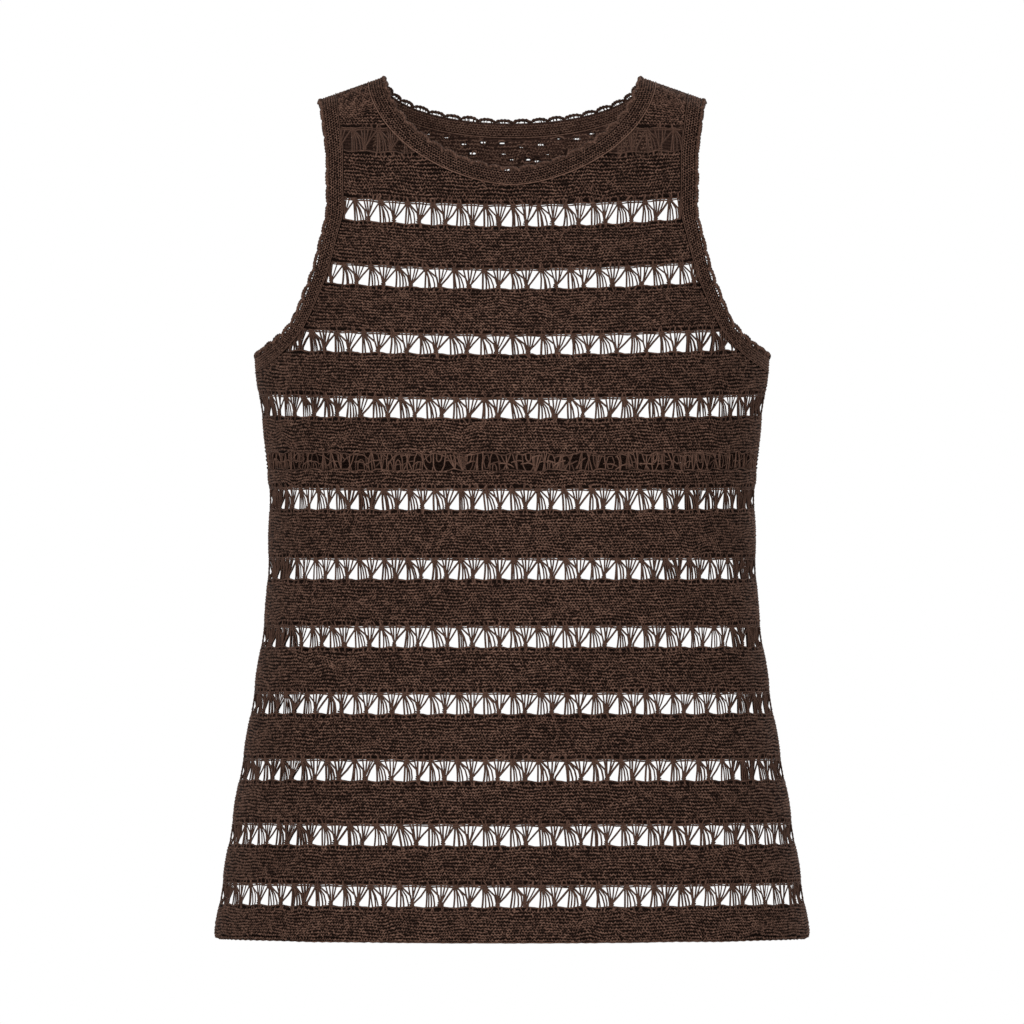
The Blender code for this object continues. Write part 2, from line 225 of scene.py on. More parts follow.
def along(points):
    """The way along a line of points, at each of them."""
    return np.concatenate([[0], np.cumsum(np.linalg.norm(np.diff(points, axis=0), axis=1))])


class Wander:
    """A smooth uneven field over the cloth, mostly between -1 and 1, the same on each run."""

    def __init__(self, seed, shortest, longest, waves=9):
        rng = np.random.RandomState(seed)
        lengths = np.exp(rng.uniform(math.log(shortest), math.log(longest), waves))
        angles = rng.uniform(0, 2 * math.pi, waves)
        self.across = 2 * math.pi * np.cos(angles) / lengths
        self.down = 2 * math.pi * np.sin(angles) / lengths
        self.starts = rng.uniform(0, 2 * math.pi, waves)

    def __call__(self, reach, level):
        total = sum(
            np.sin(a * reach + d * level + s)
            for a, d, s in zip(self.across, self.down, self.starts)
        )
        return total / math.sqrt(len(self.starts))


class Crease(NamedTuple):
    """A soft ridge, or a trough where rise is below 0: its middle, its half-length and half-width, the
    lean of its line from the vertical in degrees, and its height."""

    side: int
    reach: float
    level: float
    length: float
    width: float
    lean: float
    rise: float


CREASES = (
    Crease(FRONT, -0.135, 0.235, 0.060, 0.013, 62, -1.8 * MM),
    Crease(FRONT, 0.142, 0.228, 0.052, 0.012, -58, -1.6 * MM),
    Crease(FRONT, -0.098, 0.300, 0.070, 0.016, 35, 1.1 * MM),
    Crease(FRONT, 0.112, 0.330, 0.085, 0.018, -24, 1.3 * MM),
    Crease(FRONT, -0.150, 0.470, 0.110, 0.017, 8, 1.9 * MM),
    Crease(FRONT, -0.060, 0.520, 0.090, 0.020, 3, -1.2 * MM),
    Crease(FRONT, 0.045, 0.500, 0.100, 0.022, -4, 1.1 * MM),
    Crease(FRONT, 0.158, 0.455, 0.120, 0.016, -7, 1.7 * MM),
    Crease(FRONT, 0.105, 0.545, 0.070, 0.018, -3, -1.3 * MM),
    Crease(BACK, -0.120, 0.215, 0.055, 0.014, 55, -1.7 * MM),
    Crease(BACK, 0.110, 0.222, 0.060, 0.013, -50, -1.9 * MM),
    Crease(BACK, -0.030, 0.330, 0.075, 0.020, 12, -1.5 * MM),
    Crease(BACK, 0.070, 0.350, 0.090, 0.018, -10, 1.4 * MM),
    Crease(BACK, -0.120, 0.480, 0.115, 0.018, 6, 1.8 * MM),
    Crease(BACK, 0.020, 0.510, 0.095, 0.021, 2, -1.4 * MM),
    Crease(BACK, 0.140, 0.490, 0.105, 0.017, -5, 1.6 * MM),
)


UNEVEN = Wander(61, shortest=6 * MM, longest=24 * MM)


class Edge(NamedTuple):
    """An edge of a plain strip. Where it borders lace, bulge is how far it bows down between knots,
    which stand at knot, a share of the pitch, and every pitch from there, and its eyelets stand at
    eyelet in the same way. Uneven is how far it strays up and down."""

    level: float
    pitch: float = 1.0
    knot: float = 0.0
    bulge: float = 0.0
    eyelet: float = 0.0
    lace: bool = False
    uneven: float = 0.0

    def at(self, reach):
        turn = math.pi * (reach / self.pitch - self.knot)
        stray = self.uneven * UNEVEN(reach, self.level) if self.uneven else 0.0
        return self.level + self.bulge * np.sin(turn) ** 2 + stray


def row_edges(row):
    """The edges of the plain strips above and below a row of lace."""
    top, bottom = row.top + UPPER_CORD + UPPER_CLOSING, row.top + LOWER_CORD - LOWER_CLOSING
    upper = Edge(top, row.pitch, knot=0.0, bulge=-0.5 * MM, eyelet=0.22, lace=True)
    lower = Edge(bottom, row.pitch, knot=0.48, bulge=1.1 * MM, eyelet=-0.24, lace=True)
    return upper, lower


class Cloth:
    """The front or the back in its worn shape, as tables of places that are read smoothly. The back
    has the front ahead of it."""

    def __init__(self, name, side, rows, ahead=None):
        self.name, self.side, self.rows, self.ahead = name, side, rows, ahead
        self.creases = [c for c in CREASES if c.side == side]
        self.levels = np.linspace(0, HEM_LEVEL, LEVEL_SAMPLES)
        self.make_tables()
        self.trace_neck()
        self.trace_armhole()
        self.strips = self.plain_strips()
        self.pillow = self.strip_relief()

    def section(self, levels):
        keys = [s.level for s in SECTIONS]
        return Section(*[smooth_curve(keys, column, levels) for column in zip(*SECTIONS)])

    def make_tables(self):
        s = Section(*[column[:, None] for column in self.section(self.levels)])
        corner = np.clip((self.levels - HEM_LEVEL) / HEM_CORNER + 1, 0, 1)[:, None]
        s = s._replace(half_width=s.half_width - HEM_CORNER * (1 - np.sqrt(1 - corner**2)))
        turns = np.linspace(0, math.pi / 2, TURN_SAMPLES)[None]
        power = 2 / s.squareness
        out = s.half_width * np.sin(turns) ** power
        depth = s.front_depth if self.side == FRONT else s.back_depth
        fall = s.slope * np.maximum(0, out - NECK_POINT)
        sag = s.dip * (1 - (out / s.half_width) ** 2)
        away = self.side * depth * np.maximum(np.cos(turns), 0) ** power
        places = np.stack([out, away, s.height - fall - sag], axis=-1)
        even = np.empty((LEVEL_SAMPLES, REACH_SAMPLES, 3))
        self.full = np.empty(LEVEL_SAMPLES)
        for i, course in enumerate(places):
            way = along(course)
            self.full[i] = way[-1]
            wanted = np.linspace(0, way[-1], REACH_SAMPLES)
            for axis in range(3):
                even[i, :, axis] = np.interp(wanted, way, course[:, axis])
        across, down = np.gradient(even, axis=1), np.gradient(even, axis=0)
        normals = unit(np.cross(across, down)) * self.side
        self.table = np.concatenate([even, normals], axis=2)

    def full_reach(self, level):
        return np.interp(level, self.levels, self.full)

    def seen_shift(self, reach, level):
        """How much lower a point of the back lies than its level says, to be seen behind the front's."""
        row = np.rint(np.clip(level / HEM_LEVEL, 0, 1) * (LEVEL_SAMPLES - 1)).astype(int)
        share = np.clip(np.abs(reach) / self.full_reach(level), 0, 1)
        column = np.rint(share * (REACH_SAMPLES - 1)).astype(int)
        apart = self.table[row, column, 1] - self.ahead.table[row, column, 1]
        part = np.interp(level, SHIFT_LEVELS, SHIFT_SHARES)
        return part * (level - EYE_LEVEL) * apart / EYE_DISTANCE

    def read(self, reach, level):
        """The places and the outward directions at arrays of reach and level."""
        if self.ahead is not None:
            level = level + self.seen_shift(reach, level)
        row = np.clip(level / HEM_LEVEL, 0, 1) * (LEVEL_SAMPLES - 1)
        share = np.clip(np.abs(reach) / self.full_reach(level), 0, 1)
        column = share * (REACH_SAMPLES - 1)
        i = np.minimum(row.astype(int), LEVEL_SAMPLES - 2)
        j = np.minimum(column.astype(int), REACH_SAMPLES - 2)
        u, v = (row - i)[..., None], (column - j)[..., None]
        table = self.table
        found = (
            (1 - u) * (1 - v) * table[i, j]
            + (1 - u) * v * table[i, j + 1]
            + u * (1 - v) * table[i + 1, j]
            + u * v * table[i + 1, j + 1]
        )
        mirror = np.where(reach < 0, -1.0, 1.0)
        found[..., 0] *= mirror
        found[..., 3] *= mirror
        return found[..., :3], unit(found[..., 3:])

    def drape(self, reach, level):
        """How far the cloth stands off its even shape: creases, and plain strips that swell between
        their edges."""
        lift = np.interp(level, self.pillow[0], self.pillow[1])
        for c in self.creases:
            lean = math.radians(c.lean)
            x, y = reach - c.reach, level - c.level
            run = (x * math.sin(lean) + y * math.cos(lean)) / c.length
            off = (x * math.cos(lean) - y * math.sin(lean)) / c.width
            lift = lift + c.rise * np.exp(-(run**2) - off**2)
        return lift

    def at(self, reach, level, lift=0.0):
        """The places at arrays of reach, level and lift, and the outward directions there."""
        reach, level = np.broadcast_arrays(np.asarray(reach, float), np.asarray(level, float))
        place, normal = self.read(reach, level)
        height = lift + self.drape(reach, level)
        return place + normal * np.broadcast_to(height, reach.shape)[..., None], normal

    def level_of(self, out, height):
        """The levels whose courses have these heights where they lie this far out."""
        low, high = np.zeros(len(out)), np.full(len(out), HEM_LEVEL)
        for _ in range(HALVINGS):
            middle = (low + high) / 2
            s = self.section(middle)
            fall = s.slope * np.maximum(0, np.abs(out) - NECK_POINT)
            sag = s.dip * (1 - np.minimum(1, np.abs(out) / s.half_width) ** 2)
            above = s.height - fall - sag > height
            low, high = np.where(above, middle, low), np.where(above, high, middle)
        return (low + high) / 2

    def reach_of(self, out, level):
        """The reach where the course at each level lies this far out."""
        shares = np.linspace(0, 1, REACH_SAMPLES)
        rows = np.rint(np.asarray(level) / HEM_LEVEL * (LEVEL_SAMPLES - 1)).astype(int)
        found = [np.interp(x, self.table[i, :, 0], shares) for x, i in zip(out, rows)]
        return np.array(found) * self.full_reach(level)

    def behind(self, reach, level):
        """The reach on this cloth where a reach on the front is seen."""
        if self.ahead is None:
            return reach
        reach, level = np.broadcast_arrays(reach, level)
        front = self.ahead.read(reach, level)[0]
        found, depth = np.abs(reach), -front[..., 1]
        for _ in range(2):
            apart = depth - front[..., 1]
            out = np.abs(front[..., 0]) * (1 + apart / EYE_DISTANCE)
            found = self.reach_of(out.ravel(), level.ravel()).reshape(out.shape)
            depth = self.read(found, level)[0][..., 1]
        return np.copysign(found, reach)

    def evenly(self, reach, level, step):
        """Points at even steps along a line of reach and level."""
        way = along(self.read(reach, level)[0])
        count = max(2, int(round(way[-1] / step)) + 1)
        wanted = np.linspace(0, way[-1], count)
        return np.interp(wanted, way, reach), np.interp(wanted, way, level)

    def trace_neck(self):
        """Half of the neck seam, from the shoulder to the middle."""
        turn = np.linspace(0, math.pi / 2, TRACE_SAMPLES)
        power = 2 / NECK_CURVE[self.side]
        out = NECK_HALF_WIDTH * np.maximum(np.cos(turn), 0) ** power
        end_height = -SECTIONS[0].slope * (NECK_HALF_WIDTH - NECK_POINT)
        down = (NECK_DEPTH[self.side] + end_height) * np.sin(turn) ** power
        level = self.level_of(out, end_height - down)
        level[0] = 0
        self.neck = self.evenly(self.reach_of(out, level), level, EDGE_STEP)
        self.neck_bottom = self.neck[1][-1]

    def trace_armhole(self):
        """The armhole seam, from the shoulder to the side."""
        seam = np.array(ARMHOLE_SEAM)
        way = along(seam)
        wanted = np.linspace(0, way[-1], TRACE_SAMPLES)
        out = smooth_curve(way, seam[:, 0], wanted)
        level = self.level_of(out, smooth_curve(way, seam[:, 1], wanted))
        level[0] = 0
        reach = self.reach_of(out, level)
        reach[-1] = self.full_reach(level[-1])
        self.armhole = self.evenly(reach, level, EDGE_STEP)
        self.armhole_bottom = self.armhole[1][-1]

    def neck_reach(self, level):
        return np.interp(level, self.neck[1], self.neck[0], right=0.0)

    def arm_reach(self, level):
        seam = np.interp(level, self.armhole[1], self.armhole[0])
        return np.where(np.asarray(level) < self.armhole_bottom, seam, self.full_reach(level))

    def plain_strips(self):
        """The upper and the lower edge of each plain strip, from the shoulder to the hem."""
        edges = [Edge(0.0)]
        for row in self.rows:
            if self.side == FRONT and edges[-1].level < NARROW_TOP < row.top:
                edges += [Edge(level, uneven=NARROW_STRAY) for level in (NARROW_TOP, NARROW_BOTTOM)]
            edges += row_edges(row)
        edges.append(Edge(HEM_LEVEL))
        return list(zip(edges[::2], edges[1::2]))

    def strip_relief(self):
        levels = np.linspace(0, HEM_LEVEL, 4 * LEVEL_SAMPLES)
        lift = np.zeros_like(levels)
        for upper, lower in self.strips:
            share = (levels - upper.level) / (lower.level - upper.level)
            swell = np.sin(math.pi * np.clip(share, 0, 1)) ** SWELL_ROUNDNESS
            lift += STRIP_SWELL * swell * np.clip(levels / SWELL_FADE, 0, 1)
        return levels, lift

    def spans(self, level):
        """The stretches of a course between the openings, as pairs of reach."""
        neck, arm = float(self.neck_reach(level)), float(self.arm_reach(level))
        if level < self.armhole_bottom:
            arm -= SEAM_GROOVE
        if level < self.neck_bottom:
            neck += SEAM_GROOVE
            return [(-arm, -neck), (neck, arm)]
        return [(-arm, arm)]


class Heap:
    """The points and faces of many small forms, which become one piece. Crown is painted light and
    shade: 1 where the yarn stands out and is painted lit, 0 where it is sunk and painted in shade, and 0
    on the outer face of a ground, which is painted shade there."""

    def __init__(self):
        self.places, self.crowns, self.faces, self.count = [], [], [], 0

    def add(self, places, faces, crown):
        places = np.asarray(places).reshape(-1, 3)
        self.places.append(places)
        self.crowns.append(np.broadcast_to(np.asarray(crown, float), len(places)))
        self.faces += [np.asarray(f) + self.count for f in faces]
        self.count += len(places)

    def tubes(self, path, normal, radius, sides=4, bright=TUBE_BRIGHT, under=0.3):
        """A tube along each line of an array (lines, stations, 3), with its ridge on the outside of the
        cloth. Under is the share of its brightness on its inner side: painted shade, darker on the
        underside and lit on top."""
        path, normal = np.asarray(path), np.asarray(normal)
        lines, stations = path.shape[:2]
        tangent = unit(np.gradient(path, axis=1))
        across = unit(np.cross(tangent, normal))
        up = np.cross(across, tangent)
        angle = math.pi / 2 + 2 * math.pi * np.arange(sides) / sides
        cos, sin = np.cos(angle)[:, None], np.sin(angle)[:, None]
        radius = np.broadcast_to(radius, (lines, stations))[..., None, None]
        rings = path[:, :, None] + radius * (
            cos * across[:, :, None] + sin * up[:, :, None]
        )
        index = np.arange(lines * stations * sides).reshape(lines, stations, sides)
        after = np.roll(index, -1, axis=2)
        quads = np.stack([index[:, :-1], index[:, 1:], after[:, 1:], after[:, :-1]], -1)
        faces = [quads.reshape(-1, 4), index[:, 0], index[:, -1, ::-1]]
        # Painted light and shade: brightest at the tube's top, darker towards its underside
        crown = under + (1 - under) * ((1 + np.sin(angle)) / 2) ** 1.5
        crown = np.broadcast_to(bright, (lines, stations))[..., None] * crown
        self.add(rings, faces, crown.ravel())

    def loops(self, path, normal, radius, sides=5, bright=TUBE_BRIGHT, under=1.0):
        """A closed tube along one ring of stations."""
        tangent = np.roll(path, -1, axis=0) - np.roll(path, 1, axis=0)
        across = unit(np.cross(unit(tangent), normal))
        up = np.cross(across, unit(tangent))
        angle = 2 * math.pi * (np.arange(sides) + 0.5) / sides
        radius = np.broadcast_to(radius, len(path))[:, None, None]
        rings = path[:, None] + radius * (
            np.cos(angle)[:, None] * across[:, None] + np.sin(angle)[:, None] * up[:, None]
        )
        index = np.arange(len(path) * sides).reshape(len(path), sides)
        ahead, after = np.roll(index, -1, axis=0), np.roll(index, -1, axis=1)
        beyond = np.roll(ahead, -1, axis=1)
        quads = np.stack([index, ahead, beyond, after], -1).reshape(-1, 4)
        crown = bright * (under + (1 - under) * (1 + np.sin(angle)) / 2)
        crown = np.broadcast_to(crown, (len(path), sides))
        self.add(rings, [quads], crown.ravel())

    def ribbon(self, path, normal, half_width, height, bright, closed=False):
        """A yarn that lies on the cloth: a low arch in section, with its edges in the cloth, darker at
        its edges as painted shade.
        """
        if closed:
            tangent = np.roll(path, -1, axis=0) - np.roll(path, 1, axis=0)
        else:
            tangent = np.gradient(path, axis=0)
        across = unit(np.cross(tangent, normal)) * np.reshape(half_width, (-1, 1))
        crown = path + normal * np.reshape(height, (-1, 1))
        points = np.stack([path - across, crown, path + across], axis=1)
        index = np.arange(len(path) * 3).reshape(-1, 3)
        here, ahead = (index, np.roll(index, -1, axis=0)) if closed else (index[:-1], index[1:])
        quads = [
            np.stack([here[:, k], here[:, k + 1], ahead[:, k + 1], ahead[:, k]], -1)
            for k in (0, 1)
        ]
        bright = np.broadcast_to(bright, len(path))
        # Painted shade at the sunk edges of the ribbon
        edge = RIBBON_EDGE_SHADED_SHARE * bright
        self.add(points, quads, np.stack([edge, bright, edge], axis=1).ravel())

    def piece(self, name, material):
        """The heap as one object, shaded smooth, which rides on the body."""
        mesh = bpy.data.meshes.new(name)
        places = np.concatenate(self.places)
        loops = np.concatenate([f.ravel() for f in self.faces])
        sizes = np.concatenate([np.full(len(f), f.shape[1]) for f in self.faces])
        mesh.vertices.add(len(places))
        mesh.vertices.foreach_set("co", places.astype(np.float32).ravel())
        mesh.loops.add(len(loops))
        mesh.loops.foreach_set("vertex_index", loops.astype(np.int32))
        mesh.polygons.add(len(sizes))
        starts = np.concatenate([[0], np.cumsum(sizes)[:-1]])
        mesh.polygons.foreach_set("loop_start", starts.astype(np.int32))
        mesh.update(calc_edges=True)
        mesh.validate()
        crown = mesh.attributes.new("crown", "FLOAT", "POINT")
        crown.data.foreach_set("value", np.concatenate(self.crowns).astype(np.float32))
        mesh.materials.append(material)
        mesh.shade_smooth()
        made = bpy.data.objects.new(name, mesh)
        bpy.context.scene.collection.objects.link(made)
        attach(made, "root")
        return made


def inside(ring, points):
    """Whether each point lies inside the ring."""
    odd = np.zeros(len(points), bool)
    x, y = points[:, 0], points[:, 1]
    for (x0, y0), (x1, y1) in zip(ring, np.roll(ring, -1, axis=0)):
        if y0 != y1:
            odd ^= ((y0 > y) != (y1 > y)) & (x < x0 + (y - y0) * (x1 - x0) / (y1 - y0))
    return odd


def far_from(points, others, distance):
    """Whether each point is at least this far from all the others."""
    gaps = points[:, None] - others[None]
    return (gaps**2).sum(axis=2).min(axis=1) > distance**2


def edge_points(edge, start, end):
    reach = np.linspace(start, end, max(1, round(abs(end - start) / EDGE_STEP)) + 1)
    return np.stack([reach, edge.at(reach)], axis=1)


def seam_points(seam, mirror, above, below):
    """The points of a seam between two levels, from the upper to the lower."""
    reach, level = seam
    kept = (level > above + 0.3 * EDGE_STEP) & (level < below - 0.3 * EDGE_STEP)
    return np.stack([mirror * reach[kept], level[kept]], axis=1)


def side_points(cloth, mirror, above, below):
    """The points of a strip's outer edge, along the armhole and then along the side."""
    seam = seam_points(cloth.armhole, mirror, above, below)
    start = max(above, cloth.armhole_bottom)
    levels = np.arange(start, below - 0.5 * EDGE_STEP, 2 * EDGE_STEP)[1:]
    levels = levels[levels > start]
    if below == HEM_LEVEL:
        levels = np.append(levels[levels < below - HEM_CORNER], below - HEM_CORNER * HEM_STEPS)
    side = np.stack([mirror * cloth.full_reach(levels), levels], axis=1)
    return np.concatenate([seam, side])


def strip_rings(cloth, upper, lower):
    """The outlines of the cloth between two edges: one ring, or one for each strap."""
    rings = []
    top, bottom = upper.level, lower.level
    arm_top, arm_bottom = float(cloth.arm_reach(top)), float(cloth.arm_reach(bottom))
    neck_top, neck_bottom = float(cloth.neck_reach(top)), float(cloth.neck_reach(bottom))
    outer = {m: side_points(cloth, m, top, bottom) for m in (-1, 1)}
    neck = {m: seam_points(cloth.neck, m, top, bottom) for m in (-1, 1)}
    if bottom < cloth.neck_bottom:
        for m in (-1, 1):
            parts = [
                edge_points(upper, m * neck_top, m * arm_top),
                outer[m],
                edge_points(lower, m * arm_bottom, m * neck_bottom),
                neck[m][::-1],
            ]
            ring = np.concatenate(parts)
            rings.append(ring if m > 0 else ring[::-1])
        return rings
    under = [edge_points(lower, arm_bottom, -arm_bottom), outer[-1][::-1]]
    if top < cloth.neck_bottom:
        middle = [
            edge_points(upper, -arm_top, -neck_top),
            neck[-1],
            np.array([[0.0, cloth.neck_bottom]]),
            neck[1][::-1],
            edge_points(upper, neck_top, arm_top),
        ]
    else:
        middle = [edge_points(upper, -arm_top, arm_top)]
    rings.append(np.concatenate(middle + [outer[1]] + under))
    return rings


# The outline of a small hole beside lace, its way from the edge, and how far its middle keeps from
# the openings
EYELET = np.array([(-2.5, 0), (-1.4, -0.95), (1.4, -0.95), (2.5, 0), (1.4, 0.95), (-1.4, 0.95)]) * MM
EYELET_OFFSET = 2.1 * MM
EYELET_MARGIN = 4.0 * MM


def eyelets(cloth, edge, inward):
    """The middles of the eyelets beside an edge that borders lace. Inward is 1 below it, -1 above."""
    if not edge.lace:
        return np.zeros((0, 2))
    level = edge.level + inward * EYELET_OFFSET
    limit = float(cloth.arm_reach(level)) - EYELET_MARGIN
    least = float(cloth.neck_reach(level)) + EYELET_MARGIN if level < cloth.neck_bottom else 0.0
    count = int(limit / edge.pitch) + 1
    reach = (np.arange(-count, count + 1) + edge.eyelet) * edge.pitch
    reach = reach[(np.abs(reach) < limit) & (np.abs(reach) >= least)]
    return np.stack([reach, np.full(len(reach), level)], axis=1)


# The small holes at the top of the back: a row beside the neckband, and a field below the neck,
# whose half-width and height are in millimetres
YOKE_HOLE = EYELET * (0.92, 0.58)
YOKE_HOLE_STEP = 13 * MM
YOKE_ROW_INSET = 4.2 * MM
YOKE_ROW_HALF = 5
YOKE_ROW_STRAY = 0.9 * MM
YOKE_FIELD_TOP = 9 * MM
YOKE_FIELD_HALF_WIDTH = 58
YOKE_FIELD_HEIGHT = 28
YOKE_FIELD_TRIES = 150
YOKE_HOLES_APART = 6.2 * MM
BOW_REACH = 2.7 * MM
BOW_HEIGHT = 1.7 * MM


def yoke_holes(cloth):
    """The middles of the small holes at the top of the back: a row beside the neckband, and more by
    chance below it."""
    if cloth.side == FRONT:
        return np.zeros((0, 2))
    rng = np.random.RandomState(77)
    line = np.stack(cloth.neck, axis=1)
    away = unit(np.gradient(line, axis=0))[:, ::-1] * (1, -1)
    away = away * np.sign(away.sum(axis=1, keepdims=True))
    spots = (line + away * YOKE_ROW_INSET)[::-1]
    every = round(YOKE_HOLE_STEP / EDGE_STEP)
    spots = spots[every // 2 :: every][:YOKE_ROW_HALF]
    row = np.concatenate([spots, spots * (-1, 1)])
    across = rng.uniform(-YOKE_FIELD_HALF_WIDTH, YOKE_FIELD_HALF_WIDTH, YOKE_FIELD_TRIES) * MM
    down = rng.uniform(0, YOKE_FIELD_HEIGHT, YOKE_FIELD_TRIES) * MM
    chance = np.stack([across, cloth.neck_bottom + YOKE_FIELD_TOP + down], axis=1)
    found = list(row + rng.normal(0, YOKE_ROW_STRAY, row.shape))
    for spot in chance:
        if far_from(spot[None], np.array(found), YOKE_HOLES_APART)[0]:
            found.append(spot)
    return np.array(found)


def bow_away(holes, reach, level):
    """The levels of a course where it bows round the holes that it comes near."""
    for x, y in holes:
        gap = level - y
        near = np.exp(-(((reach - x) / BOW_REACH) ** 4))
        short = np.maximum(0, BOW_HEIGHT - np.abs(gap))
        level = level + np.where(gap < 0, -1, 1) * near * short
    return level


def ground_triangles(ring, holes):
    """Triangles of a flat strip between its outline and its eyelets."""
    low, high = ring.min(axis=0), ring.max(axis=0)
    columns = np.arange(low[0], high[0], GROUND_STEP)
    rows = np.arange(low[1] + GROUND_STEP / 2, high[1], GROUND_STEP)
    grid = np.array(
        [(x + (k % 2) * GROUND_STEP / 2, y) for k, y in enumerate(rows) for x in columns]
    ).reshape(-1, 2)
    borders = np.concatenate([ring] + holes)
    grid = grid[inside(ring, grid)]
    if len(grid):
        grid = grid[far_from(grid, borders, 0.4 * GROUND_STEP)]
    coords, edges = [], []
    for loop in [ring] + holes:
        first = len(coords)
        coords += [Vector(point) for point in loop]
        edges += [(first + i, first + (i + 1) % len(loop)) for i in range(len(loop))]
    coords += [Vector(point) for point in grid]
    made = delaunay_2d_cdt(coords, edges, [], 1, 1e-7)
    corners, faces = np.array([tuple(v) for v in made[0]]), np.array(made[2])
    middles = corners[faces].mean(axis=1)
    kept = inside(ring, middles)
    for hole in holes:
        near = np.abs(middles - hole.mean(axis=0)).max(axis=1) < EYELET_MARGIN
        kept[near] &= ~inside(hole, middles[near])
    return corners, faces[kept]


def wall(heap, outer, inner, faces):
    """A closed thin wall between two copies of a triangled surface."""
    count = len(outer)
    pairs = np.concatenate([faces[:, [0, 1]], faces[:, [1, 2]], faces[:, [2, 0]]])
    keys = pairs.min(axis=1) * count + pairs.max(axis=1)
    _, first, uses = np.unique(keys, return_index=True, return_counts=True)
    rim = pairs[first[uses == 1]]
    a, b = rim[:, 0], rim[:, 1]
    rim_faces = np.stack([b, a, a + count, b + count], axis=1)
    back = faces[:, ::-1] + count
    # Crown 0 on the outer face gives the ground its painted shade; the inner face shows the lighter
    # inside courses
    crown = np.concatenate([np.zeros(count), np.full(count, 0.35)])
    heap.add(np.concatenate([outer, inner]), [faces, back, rim_faces], crown)


def flat_area(corners, faces):
    a, b, c = (corners[faces[:, k]] for k in range(3))
    ab, ac = b - a, c - a
    return float(np.abs(ab[:, 0] * ac[:, 1] - ab[:, 1] * ac[:, 0]).sum() / 2)


# The sizes of the holes, as shares of their outline
HOLE_SEED = 5
HOLE_SIZES = (0.45, 1.15)


def knit_ground(cloth, material):
    """The thin shell under the stitches of all the plain strips, and its area when laid flat."""
    heap, area = Heap(), 0.0
    for upper, lower in cloth.strips:
        if cloth.side == FRONT:
            centres = np.concatenate([eyelets(cloth, upper, 1), eyelets(cloth, lower, -1)])
            shape = EYELET
        else:
            centres = yoke_holes(cloth) if upper.level == 0 else np.zeros((0, 2))
            shape = YOKE_HOLE
        for ring in strip_rings(cloth, upper, lower):
            sign = ring[:, 0].mean()
            mine = centres
            if lower.level < cloth.neck_bottom:
                mine = centres[centres[:, 0] * sign > 0]
            size = np.random.RandomState(HOLE_SEED).uniform(*HOLE_SIZES, len(mine))
            holes = [centre + shape * scale for centre, scale in zip(mine, size)]
            corners, faces = ground_triangles(ring, holes)
            area += flat_area(corners, faces)
            if cloth.side == FRONT:
                faces = faces[:, ::-1]
            outer, _ = cloth.at(corners[:, 0], corners[:, 1], GROUND_TOP)
            inner, _ = cloth.at(corners[:, 0], corners[:, 1], GROUND_BOTTOM)
            wall(heap, outer, inner, faces)
    return heap.piece(cloth.name + "_cloth", material), area


class Measure(NamedTuple):
    """A measure of a yarn from station to station: its middle, its swing to and fro, and how far it
    strays by chance."""

    middle: float
    swing: float
    stray: float

    def at(self, wave, noise):
        return self.middle + self.swing * wave + self.stray * noise


# How unevenly the courses run: lengths, and shares of the distance between courses
SWIRL_COUNT = 130
SWIRL_TOP = 0.02
SWIRL_SIZES = (4.5 * MM, 9.0 * MM)
SWIRL_TILT = 0.42
SWAY = 0.60 * MM
SLIP = 0.55 * MM
SWING = 0.22
SWING_CHANGE = 0.35
STRAY_DOWN = 0.09
STRAY_ALONG = 0.12

# The yarn of a course
COURSE_HEIGHT = Measure(0.62 * MM, 0.27 * MM, 0.10 * MM)
# Brightness of a course: its swing is painted light where the yarn rises and painted shade where it
# dips, and its stray is random tone
COURSE_BRIGHT = Measure(0.58, 0.22, 0.32)
COURSE_HALF_WIDTH = 0.31
COURSE_SINK = 0.05 * MM

# Stitches are longer towards the sides and larger on top of the shoulder
SIDE_STITCH_REACH = 28 * MM
SIDE_STITCH_GAIN = 0.85
SHOULDER_STITCH_REACH = 42 * MM
SHOULDER_STITCH_GAIN = 1.2
COURSE_SAMPLES = 101
STITCH_SAMPLES = 161


def shoulder_stretch(level):
    """How much larger the stitches are on top of the shoulder."""
    return 1 + SHOULDER_STITCH_GAIN * np.clip(1 - level / SHOULDER_STITCH_REACH, 0, 1)


